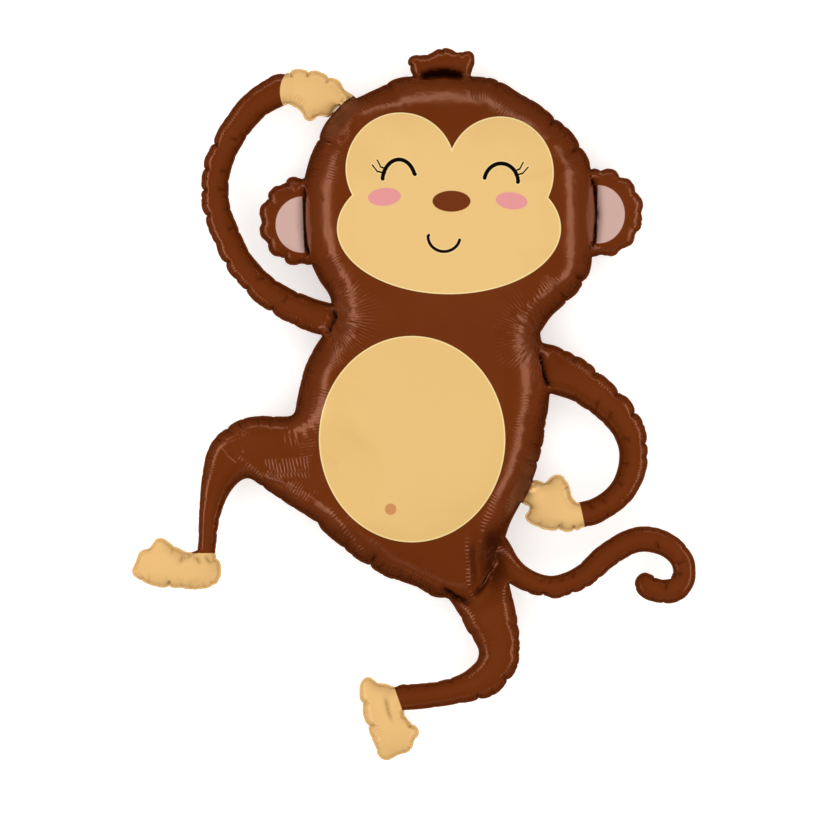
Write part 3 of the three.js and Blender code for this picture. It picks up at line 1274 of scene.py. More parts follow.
@dataclass(frozen=True)
class Rays:
    """Fine ridges that run out from a corner of the outline, with a painted highlight on each, in metres and
    degrees.

    Attributes:
        corner: The corner.
        toward: Direction of the middle line.
        opening: Angle between the outermost lines.
        count: How many lines.
        reach: How far the lines run.
    """

    corner: tuple[float, float]
    toward: float
    opening: float
    count: int
    reach: float

    def marks(self, x: Value, y: Value, wander: Value) -> Value:
        """Gives 1 on the lines and 0 between them."""
        cosine, sine = math.cos(math.radians(self.toward)), math.sin(math.radians(self.toward))
        across, up = x - self.corner[0], y - self.corner[1]
        ahead = across * cosine + up * sine
        aside = up * cosine - across * sine
        angle = aside.math("ARCTAN2", ahead)
        opening = math.radians(self.opening)
        wave = (angle * (2.0 * math.pi * self.count / opening) + wander * 4.0).math("SINE")
        away = (ahead * ahead + aside * aside).math("SQRT")
        near = (away + wander * 0.03 - self.reach).inside(0.045) * (0.010 - away).inside(0.008)
        lines = (wave - 0.1).math("MULTIPLY", 1.3, clamp=True) * 0.6
        return lines * near * (abs(angle) - opening / 2).inside(0.4)


def below(height: float) -> Cut:
    """Keeps what is lower than a height on the picture."""
    return Cut((1.0, height), (-1.0, height))


def above(height: float) -> Cut:
    """Keeps what is higher than a height on the picture."""
    return Cut((-1.0, height), (1.0, height))


def west_of(place: float) -> Cut:
    """Keeps what is left of a place on the picture."""
    return Cut((place, -1.0), (place, 1.0))


@dataclass(frozen=True)
class Paws:
    """Where the hands and feet are printed in the light colour, as shapes that overlap."""

    fields: tuple[tuple[Shape, ...], ...] = (
        (Oval(-0.187, 0.634, 0.085, 0.077), Cut((-0.1647, 0.5936), (-0.1260, 0.6241))),
        (
            Cut((0.2424, -0.1565), (0.2220, -0.1992)),
            Cut((0.3475, -0.2510), (0.3375, -0.2030)),
            above(-0.272),
            below(-0.124),
        ),
        (west_of(-0.4513), below(-0.256)),
        (west_of(-0.374), below(-0.303)),
        (west_of(0.016), below(-0.541), Cut((-0.0236, -0.6221), (-0.0520, -0.5408))),
        (west_of(0.016), below(-0.622)),
    )


def forked(foot: tuple[float, float], tip: tuple[float, float]) -> list[Fold]:
    """Lays a short crease that forks at its tip, as on the inside of a bend, darkened with painted shade.

    Args:
        foot: Where it starts at the weld, in metres.
        tip: Where it forks.

    Returns:
        The crease and its two arms.
    """
    dx, dy = tip[0] - foot[0], tip[1] - foot[1]
    arms = []
    for turn in (-1.0, 1.1):
        along = 0.5 * (dx * math.cos(turn) - dy * math.sin(turn))
        aside = 0.5 * (dx * math.sin(turn) + dy * math.cos(turn))
        arms.append((tip[0] + along, tip[1] + aside))
    beyond = (tip[0] + 0.3 * dx, tip[1] + 0.3 * dy)
    return [
        Fold((foot, tip, beyond), -0.0016, 0.0034, shade=0.50),
        Fold((arms[0], tip, arms[1]), -0.0010, 0.0030, shade=0.42),
    ]


@dataclass(frozen=True)
class PleatLines:
    """Sharp lines that run from the weld into the film.

    Attributes:
        pitch: Mean distance between two lines.
        width: Width of a line.
        shortest: Length of the shortest line.
        longest: Length of the longest.
        depth: How deep a line is.
    """

    pitch: float
    width: float
    shortest: float
    longest: float
    depth: float


@dataclass(frozen=True)
class PrintedFilm:
    """The glossy printed film.

    Attributes:
        picture: Where the printed picture is.
        paws: Where the light paws are.
        seam_height: What lies higher belongs to the front.
        edge: Softness of the print's edges.
        roughness: Roughness of the ink.
        metallic: How much of the metal layer shines through.
        coat: Strength of the clear gloss.
        coat_roughness: Roughness of the clear gloss.
        specular: How strongly the ink mirrors.
        specular_tint: Colour of what it mirrors at a low angle.
        painted_shade_tint: What the colour is multiplied by for the painted shade where the film lies deep.
        ridge_glints: The fine ridges that are bumped and get painted highlight lines.
        pleats: The pleat lines along the weld, coarse and fine, bumped and darkened with painted shade.
        rumpled: Where a hand lies against the body and the film has lost its gloss.
    """

    seam_height: float
    picture: Picture = Picture()
    paws: Paws = Paws()
    edge: float = 0.0012
    roughness: float = 0.20
    metallic: float = 0.22
    coat: float = 0.10
    coat_roughness: float = 0.08
    specular: float = 0.45
    specular_tint: tuple[float, float, float, float] = (1.0, 0.76, 0.54, 1.0)
    painted_shade_tint: tuple[float, float, float, float] = (0.30, 0.20, 0.14, 1.0)
    # Painted highlight: where glints are painted along fine ridges, which are bumped as well.
    ridge_glints: tuple[Ticks | Rays | Stroke, ...] = (
        Rays(NECK_RIGHT, 190.0, 165.0, 33, 0.080),
        Rays(NECK_LEFT, -5.0, 165.0, 33, 0.085),
        Ticks((-0.300, -0.126), (-0.214, -0.122), 0.028, 0.0070, 0.15, 1.4),
        Ticks((-0.298, -0.147), (-0.214, -0.143), 0.010, 0.0070, 0.3, 1.2),
        Ticks((-0.360, -0.104), (-0.306, -0.148), 0.009, 0.0066, 0.0, 1.2),
        Ticks((0.107, -0.262), (0.110, -0.372), 0.007, 0.0078, 0.0, 2.0),
        Ticks((0.110, -0.372), (0.120, -0.392), 0.006, 0.0075, 0.0, 1.2),
        Ticks((-0.178, -0.205), (-0.102, -0.300), 0.010, 0.0080, 0.0, 1.3),
        Ticks((-0.190, 0.015), (-0.222, -0.115), 0.026, 0.0068, 0.4, 0.6),
        Ticks((-0.176, -0.112), (-0.160, -0.130), 0.020, 0.0070, 0.0, 1.0),
        Stroke((-0.309, -0.146), (-0.248, -0.163), 0.0026),
        Stroke((-0.248, -0.163), (-0.181, -0.205), 0.0020),
        Stroke((-0.390, -0.085), (-0.354, -0.069), 0.0016),
        Stroke((-0.354, -0.069), (-0.346, -0.098), 0.0014),
        Stroke((-0.390, -0.085), (-0.378, -0.106), 0.0016),
        Stroke((-0.378, -0.106), (-0.362, -0.118), 0.0016),
        Stroke((0.191, -0.451), (0.203, -0.480), 0.0018),
        Stroke((0.138, -0.467), (0.147, -0.497), 0.0016),
    )
    pleats: tuple[PleatLines, ...] = (
        PleatLines(0.036, 0.0026, 0.012, 0.040, 0.0022),
        PleatLines(0.0150, 0.0016, 0.005, 0.020, 0.0007),
    )
    rumpled: tuple[Stroke, ...] = (
        Stroke((0.246, -0.115), (0.204, -0.215), 0.032),
        Stroke((-0.128, 0.614), (-0.174, 0.550), 0.032),
    )

    def layered(self, tree: NodeTree, under: Any, over: Any, mask: Any) -> Value:
        """Prints one colour over another where the mask says.

        Args:
            tree: The material's tree.
            under: The colour below.
            over: The colour on top.
            mask: Where the top colour shows.

        Returns:
            The mixed colour.
        """
        settings = {"data_type": "RGBA", "blend_type": "MIX"}
        return tree.value("ShaderNodeMix", settings, {0: mask, 6: under, 7: over}, 2)

    def noise(self, tree: NodeTree, place: Any, scale: float, detail: float) -> Value:
        """Gives smooth random values over the film."""
        inputs = {"Vector": place, "Scale": scale, "Detail": detail, "Roughness": 0.55}
        return tree.value("ShaderNodeTexNoise", {"noise_dimensions": "3D"}, inputs, 0)

    def attribute(self, tree: NodeTree, name: str) -> Value:
        """Reads one of the numbers that are kept with the film's points."""
        return tree.value("ShaderNodeAttribute", {"attribute_name": name}, {}, 2)

    def pleat_lines(self, tree: NodeTree, place: Value) -> tuple[Value, Value]:
        """Draws the pleat lines along the weld.

        Args:
            tree: The material's tree.
            place: The place on the balloon.

        Returns:
            How dark the painted shade in them is, from 0 to 1, and how deep they are.
        """
        arc, gap = self.attribute(tree, "seam_arc"), self.attribute(tree, "seam_gap")
        strength = self.attribute(tree, "pleats")
        slant = (self.noise(tree, place, 9.0, 1.0) - 0.5) * 1.3
        dark: Any = 0.0
        deep: Any = 0.0
        for lines in self.pleats:
            station = (arc + gap * slant) * (1.0 / lines.pitch)
            settings = {"voronoi_dimensions": "1D", "feature": "F1"}
            inputs = {"W": station, "Scale": 1.0, "Randomness": 1.0}
            cell = tree.node("ShaderNodeTexVoronoi", settings, inputs)
            chance = tree.node("ShaderNodeSeparateColor", {}, {0: cell.outputs["Color"]})
            away = Value(tree, cell.outputs["Distance"])
            wall = (1.0 - away * (lines.pitch / lines.width)).math("MAXIMUM", 0.0)
            length = Value(tree, chance.outputs[0]) * (lines.longest - lines.shortest) + lines.shortest
            fade = (1.0 - gap / length).math("MAXIMUM", 0.0)
            line = wall * fade * strength * (Value(tree, chance.outputs[1]) * 0.7 + 0.3)
            # Painted shade in the pleat lines.
            dark = line.math("MAXIMUM", dark)
            deep = line * lines.depth + deep
        return dark, deep

    def ridge_glint_lines(self, tree: NodeTree, place: Value) -> Value:
        """Draws the fine ridges where the film is pulled tight, from 0 to 1, for their bumps and their
        painted highlight.
        """
        parts = tree.node("ShaderNodeSeparateXYZ", {}, {0: place})
        x, y = (Value(tree, parts.outputs[axis]) for axis in range(2))
        wander = self.noise(tree, place, 38.0, 2.0) - 0.5
        broken = (self.noise(tree, place, 55.0, 2.0) - 0.38).math("MULTIPLY", 4.0, clamp=True)
        joined: Any = 0.0
        for marks in self.ridge_glints:
            joined = marks.marks(x, y, wander).math("MAXIMUM", joined)
        return joined * broken

    def colour(self, tree: NodeTree, place: Value, dark: Value, ridge_glints: Value) -> tuple[Value, Value]:
        """Paints the print.

        Args:
            tree: The material's tree.
            place: The place on the balloon.
            dark: How dark the painted shade in the pleat lines is.
            ridge_glints: Where painted highlight lines go along the fine ridges.

        Returns:
            The colour and how light the ink is, from 0 to 1.
        """
        parts = tree.node("ShaderNodeSeparateXYZ", {}, {0: place})
        x, y, z = (Value(tree, parts.outputs[axis]) for axis in range(3))
        picture = self.picture
        front = ((z - self.seam_height) * -1.0).inside(0.002)
        worn = (self.noise(tree, place, 9.0, 4.0) - 0.42).math("MULTIPLY", 2.2, clamp=True)
        colour = self.layered(tree, Ink.BROWN.linear, Ink.BROWN_WORN.linear, worn * 0.6)

        def shape(fields: Iterable[Iterable[Shape]]) -> Value:
            """Joins fields, each of which is where all its shapes overlap."""
            joined = None
            for field_shapes in fields:
                met = None
                for one in field_shapes:
                    distance = one.distance(x, y)
                    met = distance if met is None else met & distance
                joined = met if joined is None else joined | met
            return joined

        paws = shape(self.paws.fields).inside(self.edge)
        colour = self.layered(tree, colour, Ink.PAW.linear, paws)
        face = shape([oval] for oval in picture.face)
        belly = picture.belly.distance(x, y)
        light = paws
        for patch, ink in ((face, Ink.FACE), (belly, Ink.BELLY)):
            shadow = (patch - 0.0012).inside(self.edge) * front
            line = patch.inside(self.edge) * front
            inner = (patch + 0.0026).inside(self.edge) * front
            colour = self.layered(tree, colour, Ink.DARK_LINE.linear, shadow * 0.5)
            colour = self.layered(tree, colour, Ink.PALE_LINE.linear, line)
            colour = self.layered(tree, colour, ink.linear, inner)
            light = light.math("MAXIMUM", line)
        for oval, border in picture.ears:
            pink = (oval.distance(x, y) & border.distance(x, y)).inside(self.edge) * front
            colour = self.layered(tree, colour, Ink.EAR.linear, pink)
            light = light.math("MAXIMUM", pink)
        spots = ((picture.navel, Ink.NAVEL), *((cheek, Ink.CHEEK) for cheek in picture.cheeks))
        for oval, ink in (*spots, (picture.nose, Ink.NOSE)):
            colour = self.layered(tree, colour, ink.linear, oval.distance(x, y).inside(self.edge) * front)
        strokes = shape([line] for line in (*picture.lines, *picture.lashes))
        halo = (strokes - 0.0022).inside(self.edge) * front
        colour = self.layered(tree, colour, Ink.PALE_LINE.linear, halo * 0.55)
        colour = self.layered(tree, colour, Ink.BLACK.linear, strokes.inside(self.edge) * front)
        valley = self.attribute(tree, "valley")
        # Painted shade: the colour is darkened where the film lies deep in folds and creases and in the pleat
        # lines, less on the light inks.
        shade = (valley * 0.75).math("MAXIMUM", dark * 0.55) * (1.0 - light * 0.70)
        settings = {"data_type": "RGBA", "blend_type": "MULTIPLY"}
        shaded = tree.value("ShaderNodeMix", settings, {0: shade, 6: colour, 7: self.painted_shade_tint}, 2)
        # Painted highlight: pale glints along the fine ridges, left out where the ink is light or in painted
        # shade.
        pale = (ridge_glints * (1.0 - light) * (1.0 - shade)).math("MULTIPLY", 0.6, clamp=True)
        return self.layered(tree, shaded, Ink.PAINTED_GLINT.linear, pale), light

    def relief(self, tree: NodeTree, place: Value) -> Value:
        """Makes the fine hatch along the weld and the faint crinkle of the film."""
        arc = self.attribute(tree, "seam_arc")
        hatch = self.attribute(tree, "hatch")
        wander = self.noise(tree, place, 22.0, 2.0) * 3.4
        lines = (arc * (2.0 * math.pi / 0.0062) + wander * 3.0).math("SINE")
        broken = (self.noise(tree, place, 26.0, 2.0) - 0.40).math("MULTIPLY", 3.0, clamp=True)
        crinkle = self.noise(tree, place, 70.0, 3.0)
        return lines * hatch * broken * 0.0007 + crinkle * 0.0004

    def make(self, name: str) -> bpy.types.Material:
        """Makes the material.

        Args:
            name: Its name.

        Returns:
            The material.
        """
        material = bpy.data.materials.new(name)
        material.use_nodes = True
        material.node_tree.nodes.clear()
        tree = NodeTree(material.node_tree)
        place = tree.value("ShaderNodeTexCoord", {}, {}, 3)
        dark, deep = self.pleat_lines(tree, place)
        ridge_glints = self.ridge_glint_lines(tree, place)
        colour, light = self.colour(tree, place, dark, ridge_glints)
        relief = self.relief(tree, place) - deep + ridge_glints * 0.0006
        rough = self.noise(tree, place, 14.0, 3.0) * 0.12 + (self.roughness - 0.06)
        parts = tree.node("ShaderNodeSeparateXYZ", {}, {0: place})
        x, y = (Value(tree, parts.outputs[axis]) for axis in range(2))
        for patch in self.rumpled:
            rough = patch.distance(x, y).inside(0.022) * (0.40 - light * 0.40) + rough
        # Where the painted shade lies the film is more metallic, so that it mirrors its own darkened colour.
        metal = ((1.0 - light) * self.metallic).math("MAXIMUM", self.attribute(tree, "valley") * 0.9)
        bump = tree.node("ShaderNodeBump", {}, {"Strength": 1.0, "Distance": 1.0, "Height": relief})
        shader = tree.node(
            "ShaderNodeBsdfPrincipled",
            {},
            {
                "Base Color": colour,
                "Roughness": rough,
                "Metallic": metal,
                "Coat Weight": self.coat,
                "Coat Roughness": self.coat_roughness,
                "Specular IOR Level": self.specular,
                "Specular Tint": self.specular_tint,
                "Normal": bump.outputs[0],
            },
        )
        tree.node("ShaderNodeOutputMaterial", {}, {0: shader.outputs[0]})
        return material


@dataclass(frozen=True)
class WeldLip:
    """The thin flat lip of welded film that runs round the whole balloon.

    Attributes:
        width: How wide it is.
        thickness: Its thickness.
        overlap: How far it reaches into the blown-up film.
        ripple: How far it waves up and down.
        ripple_scale: How closely the waves follow each other.
        seed: Start of the random waves.
    """

    width: float = 0.005
    thickness: float = 0.0006
    overlap: float = 0.0012
    ripple: float = 0.0022
    ripple_scale: float = 38.0
    seed: int = 3

    def sweep(self, material: bpy.types.Material) -> bpy.types.NodeTree:
        """Makes the tree that sweeps the lip along its middle line.

        Args:
            material: The film; not used.

        Returns:
            The tree.
        """
        group = bpy.data.node_groups.new("weld_lip_sweep", "GeometryNodeTree")
        group.interface.new_socket("Geometry", in_out="INPUT", socket_type="NodeSocketGeometry")
        for name in ("Width", "Thickness", "Ripple", "Ripple Scale"):
            group.interface.new_socket(name, in_out="INPUT", socket_type="NodeSocketFloat")
        group.interface.new_socket("Seed", in_out="INPUT", socket_type="NodeSocketInt")
        group.interface.new_socket("Film", in_out="INPUT", socket_type="NodeSocketMaterial")
        group.interface.new_socket("Geometry", in_out="OUTPUT", socket_type="NodeSocketGeometry")
        tree = NodeTree(group)
        given = tree.node("NodeGroupInput", {}, {}).outputs
        line = tree.node("GeometryNodeMeshToCurve", {}, {"Mesh": given["Geometry"]})
        upright = tree.node("GeometryNodeSetCurveNormal", {"mode": "Z_UP"}, {"Curve": line.outputs[0]})
        band = tree.node(
            "GeometryNodeCurvePrimitiveQuadrilateral",
            {"mode": "RECTANGLE"},
            {"Width": given["Width"], "Height": given["Thickness"]},
        )
        swept = tree.node(
            "GeometryNodeCurveToMesh",
            {},
            {"Curve": upright.outputs[0], "Profile Curve": band.outputs[0]},
        )
        place = tree.value("GeometryNodeInputPosition", {}, {})
        wave = tree.value(
            "ShaderNodeTexNoise",
            {"noise_dimensions": "4D"},
            {"Vector": place, "W": given["Seed"], "Scale": given["Ripple Scale"], "Detail": 2.0},
        )
        rise = (wave - 0.5) * 2.0 * Value(tree, given["Ripple"])
        offset = tree.value("ShaderNodeCombineXYZ", {}, {"Z": rise})
        waved = tree.node(
            "GeometryNodeSetPosition",
            {},
            {"Geometry": swept.outputs[0], "Offset": offset},
        )
        real = tree.node("GeometryNodeRealizeInstances", {}, {0: waved.outputs[0]})
        dressed = tree.node(
            "GeometryNodeSetMaterial",
            {},
            {"Geometry": real.outputs[0], "Material": given["Film"]},
        )
        tree.node("NodeGroupOutput", {}, {0: dressed.outputs[0]})
        return group

    def build(self, weld: Sequence[Array], material: bpy.types.Material) -> bpy.types.Object:
        """Makes the lip.

        Args:
            weld: The loops that it runs along, on the inner side.
            material: The film.

        Returns:
            The lip as a plain mesh object.
        """
        points, edges = [], []
        start = 0
        for ring in weld:
            along = np.roll(ring, -1, axis=0) - np.roll(ring, 1, axis=0)
            outward = -turned_left(unit(along[:, :2]))
            middle = ring.copy()
            middle[:, :2] += outward * (0.5 * self.width - self.overlap)
            count = len(ring)
            points.append(middle)
            edges += [(start + place, start + (place + 1) % count) for place in range(count)]
            start += count
        mesh = bpy.data.meshes.new("weld_lip_line")
        mesh.from_pydata(np.concatenate(points).tolist(), edges, [])
        line = bpy.data.objects.new("weld_lip_line", mesh)
        bpy.context.scene.collection.objects.link(line)
        group = self.sweep(material)
        modifier = line.modifiers.new("sweep", "NODES")
        modifier.node_group = group
        sizes = {
            "Width": self.width,
            "Thickness": self.thickness,
            "Ripple": self.ripple,
            "Ripple Scale": self.ripple_scale,
            "Seed": self.seed,
            "Film": material,
        }
        for item in group.interface.items_tree:
            if item.item_type == "SOCKET" and item.in_out == "INPUT" and item.name in sizes:
                modifier[item.identifier] = sizes[item.name]
        evaluated = line.evaluated_get(bpy.context.evaluated_depsgraph_get())
        plain = bpy.data.meshes.new_from_object(evaluated)
        bpy.data.objects.remove(line)
        plain.name = "weld_lip"
        made = bpy.data.objects.new("weld_lip", plain)
        bpy.context.scene.collection.objects.link(made)
        return made


@dataclass(frozen=True)
class Studio:
    """The floor, the lights and the camera.

    Attributes:
        middle: The place on the balloon that the camera looks at.
        field_of_view: Width of what the picture shows at the weld's height.
        distance: Distance of the camera from the weld.
        sensor: Width of the camera's sensor, in millimetres.
        floor_side: Half of the floor's width.
        floor_glow: How much light the floor gives of its own, so that it stays pale.
        strips: Name, direction in degrees, power, height and tallness of each strip box.
        strip_away: Distance of the strip boxes from the balloon.
        strip_length: Their length.
        overhead: Height, width and power of the box overhead.
        warm: Colour of the strip boxes.
        surrounding: Colour of the surrounding.
        surrounding_strength: Its strength.
    """

    middle: tuple[float, float, float]
    field_of_view: float = 1.677
    distance: float = 16.0
    sensor: float = 36.0
    floor_side: float = 14.0
    floor_glow: float = 0.42
    strips: tuple[tuple[str, float, float, float, float], ...] = (
        ("left", 180.0, 36.0, 0.58, 0.90),
        ("right", 0.0, 33.0, 0.58, 0.90),
        ("top", 90.0, 17.0, 0.22, 0.50),
        ("bottom", 270.0, 4.0, 0.40, 0.60),
    )
    strip_away: float = 3.2
    strip_length: float = 4.6
    overhead: tuple[float, float, float] = (4.0, 5.0, 212.0)
    warm: tuple[float, float, float] = (1.0, 0.93, 0.86)
    surrounding: tuple[float, float, float, float] = (1.0, 0.90, 0.80, 1.0)
    surrounding_strength: float = 0.24

    def lay_floor(self) -> None:
        """Lays the pale floor."""
        side = self.floor_side
        corners = np.array([(-side, -side, 0.0), (side, -side, 0.0), (side, side, 0.0), (-side, side, 0.0)])
        floor = plain_object("floor", corners, [(0, 1, 2, 3)])
        material = bpy.data.materials.new("pale_floor")
        material.use_nodes = True
        looks = {
            "Base Color": (0.86, 0.86, 0.86, 1.0),
            "Roughness": 0.9,
            "Specular IOR Level": 0.1,
            "Emission Color": (1.0, 1.0, 1.0, 1.0),
            "Emission Strength": self.floor_glow,
        }
        for name, value in looks.items():
            material.node_tree.nodes["Principled BSDF"].inputs[name].default_value = value
        floor.data.materials.append(material)
        floor.visible_glossy = False

    def hang_light(
        self, name: str, place: Vector, size: tuple[float, float], power: float, gloss: bool
    ) -> None:
        """Hangs a soft box that faces the balloon.

        Args:
            name: Its name.
            place: Where it hangs.
            size: Its width and height.
            power: Its power in watts.
            gloss: True if the film mirrors it.
        """
        light = bpy.data.lights.new(name, "AREA")
        light.shape = "RECTANGLE"
        light.size, light.size_y = size
        light.energy = power
        light.color = self.warm if gloss else (1.0, 1.0, 1.0)
        box = bpy.data.objects.new(name, light)
        box.location = place
        box.rotation_euler = (Vector(self.middle) - place).to_track_quat("-Z", "Y").to_euler()
        box.visible_glossy = gloss
        box.visible_camera = False
        bpy.context.scene.collection.objects.link(box)

    def hang_lights(self) -> None:
        """Hangs strip boxes all round and one wide box overhead for even light."""
        middle = Vector(self.middle)
        for name, turn, power, height, tall in self.strips:
            angle = math.radians(turn)
            out = Vector((math.cos(angle), math.sin(angle), 0.0))
            place = middle + out * self.strip_away + Vector((0.0, 0.0, height))
            self.hang_light(f"strip_{name}", place, (self.strip_length, tall), power, True)
        height, wide, power = self.overhead
        self.hang_light("overhead", middle + Vector((0.0, 0.0, height)), (wide, wide), power, False)

    def set_world(self) -> None:
        """Sets a dim, even surrounding."""
        world = bpy.data.worlds.new("studio")
        world.use_nodes = True
        back = world.node_tree.nodes["Background"]
        back.inputs["Color"].default_value = self.surrounding
        back.inputs["Strength"].default_value = self.surrounding_strength
        world.cycles_visibility.glossy = False
        bpy.context.scene.world = world

    def set_camera(self) -> None:
        """Sets the camera straight above the lying balloon."""
        lens = bpy.data.cameras.new("camera")
        lens.sensor_width = self.sensor
        lens.lens = self.sensor * self.distance / self.field_of_view
        lens.clip_end = 100.0
        camera = bpy.data.objects.new("camera", lens)
        camera.location = Vector(self.middle) + Vector((0.0, 0.0, self.distance))
        bpy.context.scene.collection.objects.link(camera)
        bpy.context.scene.camera = camera

    def build(self) -> None:
        """Sets everything up."""
        self.set_camera()
        self.lay_floor()
        self.hang_lights()
        self.set_world()
        bpy.context.scene.view_settings.view_transform = "Standard"


def fan(corner: tuple[float, float], toward: float, spread_angle: float, count: int, seed: int) -> list[Fold]:
    """Lays fine ridges that run out from a corner of the outline.

    Args:
        corner: The corner.
        toward: Direction of the middle ridge, in degrees.
        spread_angle: Angle between the outermost ridges, in degrees.
        count: How many ridges.
        seed: Start of the random numbers.

    Returns:
        The ridges.
    """
    rng = np.random.default_rng(seed)
    folds = []
    for place in range(count):
        share = place / max(1, count - 1) - 0.5
        angle = math.radians(toward + spread_angle * share + rng.normal(0.0, 2.0))
        start = rng.uniform(0.004, 0.016)
        length = rng.uniform(0.035, 0.085)
        bow = rng.normal(0.0, 0.12)
        path = []
        for step in (0.0, 0.5, 1.0):
            turn = angle + bow * step
            reach = start + length * step
            path.append((corner[0] + math.cos(turn) * reach, corner[1] + math.sin(turn) * reach))
        sign = 1.0 if place % 2 else -1.0
        folds.append(Fold(tuple(path), sign * rng.uniform(0.0010, 0.0022), rng.uniform(0.0028, 0.0045)))
    return folds


ROOT_SPOTS = (
    (0.258, 0.098), (0.267, 0.066), (0.276, 0.034), (0.015, 0.672), (0.048, 0.678),
    (0.080, 0.678), (0.112, 0.670), (0.361, 0.462), (0.372, 0.432), (0.375, 0.400),
    (0.375, 0.368), (0.370, 0.336), (0.358, 0.306), (-0.224, 0.440), (-0.228, 0.408),
    (-0.228, 0.376), (-0.227, 0.344), (-0.222, 0.312), (0.176, -0.290), (0.172, -0.318),
    (0.180, -0.346), (0.155, -0.290), (0.155, -0.330), (0.158, -0.366), (0.100, -0.400),
    (0.130, -0.385), (-0.455, -0.315), (-0.420, -0.315), (-0.552, -0.335), (-0.300, -0.148),
    (-0.270, -0.155), (-0.015, -0.600), (-0.050, -0.620),
)


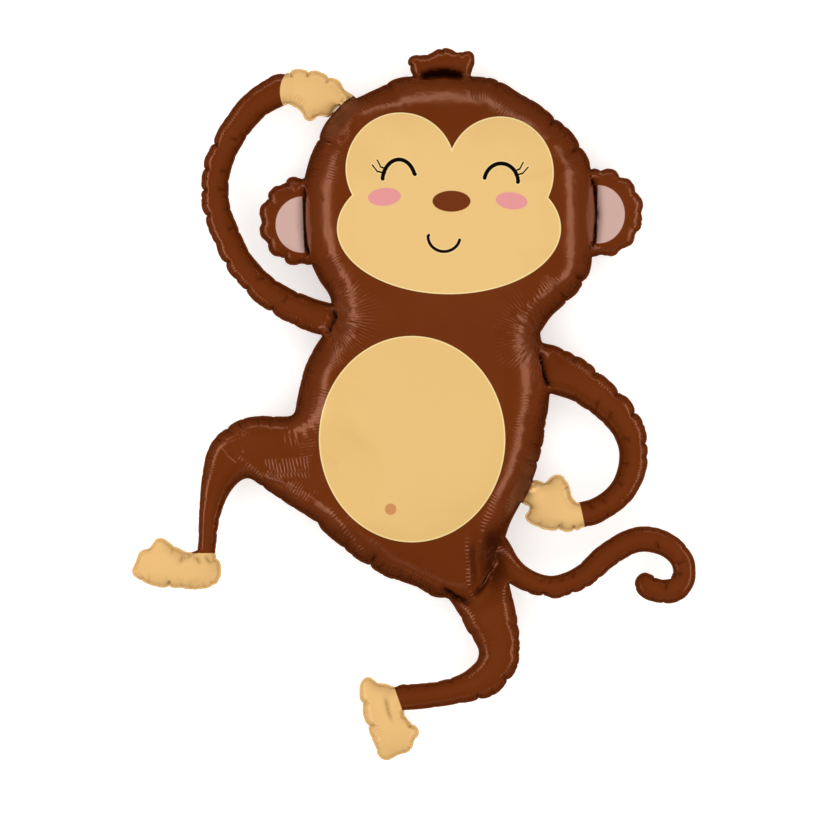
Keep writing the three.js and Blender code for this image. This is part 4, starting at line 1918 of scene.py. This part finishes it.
@dataclass
class FoilBalloon:
    """The whole balloon: the blown-up film and the lip round it.

    Attributes:
        lip: The welded lip.
        gathers: The rule for the gathers along the weld.
        half_depth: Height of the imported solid's top above the weld.
        soft_spots: Where a limb runs softly into the body: place, radius and length.
    """

    lip: WeldLip = WeldLip()
    gathers: Gathers = Gathers()
    half_depth: float = 0.160
    soft_spots: tuple[tuple[float, float, float, float], ...] = (
        (-0.235, -0.105, 0.130, 0.040),
        (-0.165, -0.150, 0.110, 0.050),
        (0.232, -0.180, 0.040, 0.004),
    )

    def folds(self) -> list[Fold]:
        """Lists the larger folds of the film, most of them with painted shade in them."""
        made = fan(NECK_RIGHT, 190.0, 165.0, 31, 11)
        made += fan(NECK_LEFT, -5.0, 165.0, 31, 12)
        roots = (
            ((-0.169, 0.205), (-0.163, 0.175), (-0.177, 0.148), (-0.193, 0.138)),
            ((0.254, 0.134), (0.262, 0.094), (0.270, 0.057), (0.281, 0.020)),
            ((0.004, 0.671), (0.033, 0.679), (0.065, 0.681), (0.094, 0.677), (0.122, 0.667)),
            ((0.354, 0.484), (0.372, 0.439), (0.376, 0.386), (0.372, 0.333), (0.354, 0.297)),
            ((-0.222, 0.451), (-0.228, 0.405), (-0.228, 0.362), (-0.224, 0.321), (-0.213, 0.285)),
        )
        # Deep pleats where the limbs, the ears and the tuft join, darkened with painted shade.
        made += [Fold(path, -0.014, 0.007, True, 0.6) for path in roots]
        # Folds at the hip, the tail and where the hands meet the body, with painted shade; the two that
        # hardly sink darken the body beside the hands only by painted shade.
        single = (
            (((0.181, -0.272), (0.171, -0.309), (0.183, -0.346)), -0.004, 0.008, 0.3),
            (((0.166, -0.225), (0.162, -0.310), (0.170, -0.410)), -0.007, 0.028, 0.7),
            (((0.2424, -0.150), (0.2322, -0.178), (0.2200, -0.205)), -0.005, 0.008, 0.8),
            (((0.236, -0.125), (0.215, -0.175), (0.203, -0.215)), -0.0005, 0.016, 0.55),
            (((-0.135, 0.604), (-0.152, 0.585), (-0.172, 0.558)), -0.0005, 0.016, 0.55),
            (((-0.156, 0.600), (-0.131, 0.6205), (-0.112, 0.633)), -0.0040, 0.006, 0.8),
            (((-0.020, 0.662), (0.060, 0.674), (0.145, 0.658)), -0.008, 0.014, 0.6),
            (((0.118, -0.262), (0.120, -0.327), (0.126, -0.392)), -0.0030, 0.010, 0.5),
        )
        made += [Fold(path, height, width, shade=shade) for path, height, width, shade in single]
        # Creases at the hips, darkened with painted shade.
        hips = (
            ((0.168, -0.332), (0.148, -0.362), (0.112, -0.402)),
            ((0.050, -0.366), (0.083, -0.392), (0.108, -0.404), (0.128, -0.394)),
        )
        made += [Fold(path, -0.0055, 0.007, shade=0.9) for path in hips]
        feet = (
            ((-0.480, -0.327), (-0.468, -0.311), (-0.443, -0.303)),
            ((-0.446, -0.307), (-0.438, -0.316), (-0.430, -0.327)),
            ((-0.425, -0.305), (-0.416, -0.318), (-0.405, -0.322)),
            ((-0.060, -0.585), (-0.052, -0.625), (-0.040, -0.655)),
        )
        made += [Fold(path, -0.0035, 0.0045, shade=0.3) for path in feet]
        bends = (
            ((0.3686, -0.0098), (0.3730, 0.0051)), ((0.3913, -0.0356), (0.3995, -0.0183)),
            ((0.4143, -0.0671), (0.4350, -0.0720)), ((0.4159, -0.1179), (0.4320, -0.1216)),
            ((0.4094, -0.1537), (0.4208, -0.1639)), ((0.3773, -0.1895), (0.3887, -0.2000)),
            ((0.3517, -0.1984), (0.3631, -0.2114)), ((-0.3549, 0.5349), (-0.3708, 0.5395)),
            ((-0.3741, 0.4724), (-0.3903, 0.4720)), ((-0.3771, 0.4363), (-0.3944, 0.4354)),
            ((-0.3608, 0.3619), (-0.3741, 0.3549)), ((-0.3100, 0.2718), (-0.3261, 0.2927)),
            ((-0.2952, 0.2561), (-0.3171, 0.2533)), ((-0.2533, 0.2248), (-0.2635, 0.2082)),
            ((0.4977, -0.3001), (0.4940, -0.2826)), ((0.5298, -0.3283), (0.5469, -0.3192)),
            ((0.5257, -0.3407), (0.5424, -0.3452)), ((0.5107, -0.3602), (0.5123, -0.3753)),
            ((0.1285, -0.4993), (0.1464, -0.5113)), ((0.2561, -0.3639), (0.2622, -0.3527)),
            ((0.2744, -0.3659), (0.2785, -0.3537)), ((0.2968, -0.3629), (0.3019, -0.3517)),
            ((0.3212, -0.3568), (0.3232, -0.3446)),
        )
        for foot, tip in bends:
            made += forked(foot, tip)
        toes = ((-0.543, -0.293), (-0.556, -0.337), (-0.537, -0.364))
        thigh = ((-0.318, -0.146), (-0.252, -0.153), (-0.200, -0.185), (-0.165, -0.216))
        made += [Fold(toes, 0.0045, 0.007), Fold(thigh, 0.0055, 0.008)]
        ridges = (
            ((-0.200, -0.185), (-0.171, -0.205), (-0.110, -0.293)),
            ((-0.390, -0.067), (-0.354, -0.106), (-0.290, -0.150)),
            ((0.191, -0.451), (0.207, -0.500), (0.195, -0.545)),
        )
        made += [Fold(path, 0.0022, 0.007) for path in ridges]
        return made

    def build(self) -> None:
        """Makes and dresses both pieces."""
        _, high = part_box(NODE)
        seam_height = high.z - self.half_depth
        outline = OutlineReader(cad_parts[NODE], seam_height + 0.0005).read()
        seam = inset(outline, self.lip.width - self.lip.overlap, SPACING)
        spots = (
            (*NECK_RIGHT, 0.070),
            (*NECK_LEFT, 0.070),
            (-0.258, -0.108, 0.046),
            (0.112, -0.300, 0.030),
            (0.114, -0.350, 0.030),
            *((x, y, 0.020) for x, y in ROOT_SPOTS),
        )
        flat = FilmMesher(seam, spots=spots).mesh()
        skin = FilmSkin(seam, flat, seam_height, self.gathers, self.folds(), self.soft_spots)
        skin.build()
        film = plain_object("film_body", skin.points, skin.faces)
        material = PrintedFilm(seam_height).make("printed_film")
        film.data.materials.append(material)
        held = len(seam.points)
        hatch = smoothstep(skin.gap, 0.003, 0.012) * (1.0 - smoothstep(skin.gap, 0.040, 0.085))
        hatch *= 1.0 - smoothstep(skin.gap / np.maximum(skin.half_width, NARROWEST), 0.45, 0.75)
        hatch *= skin.unbroken()
        kept = {
            "seam_arc": skin.arc,
            "seam_gap": skin.gap,
            "hatch": hatch,
            "pleats": skin.pleats,
            # The painted shade of folds and creases.
            "valley": skin.shade,
        }
        for name, values in kept.items():
            both = np.concatenate([values, values[held:]]).astype(np.float32)
            film.data.attributes.new(name, "FLOAT", "POINT").data.foreach_set("value", both)
        film.data.shade_smooth()
        lip = self.lip.build(skin.weld_line(), material)
        lip.data.shade_smooth()
        for piece in (film, lip):
            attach(piece, BODY)
            LOG.info("%s: %d faces", piece.name, len(piece.data.polygons))
        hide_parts(NODE)


def main() -> None:
    """Builds the studio and the balloon."""
    logging.basicConfig(level=logging.INFO, format="%(name)s: %(message)s")
    Studio((-0.003, -0.0173, 0.153)).build()
    FoilBalloon().build()


if __name__ == "__main__":
    main()
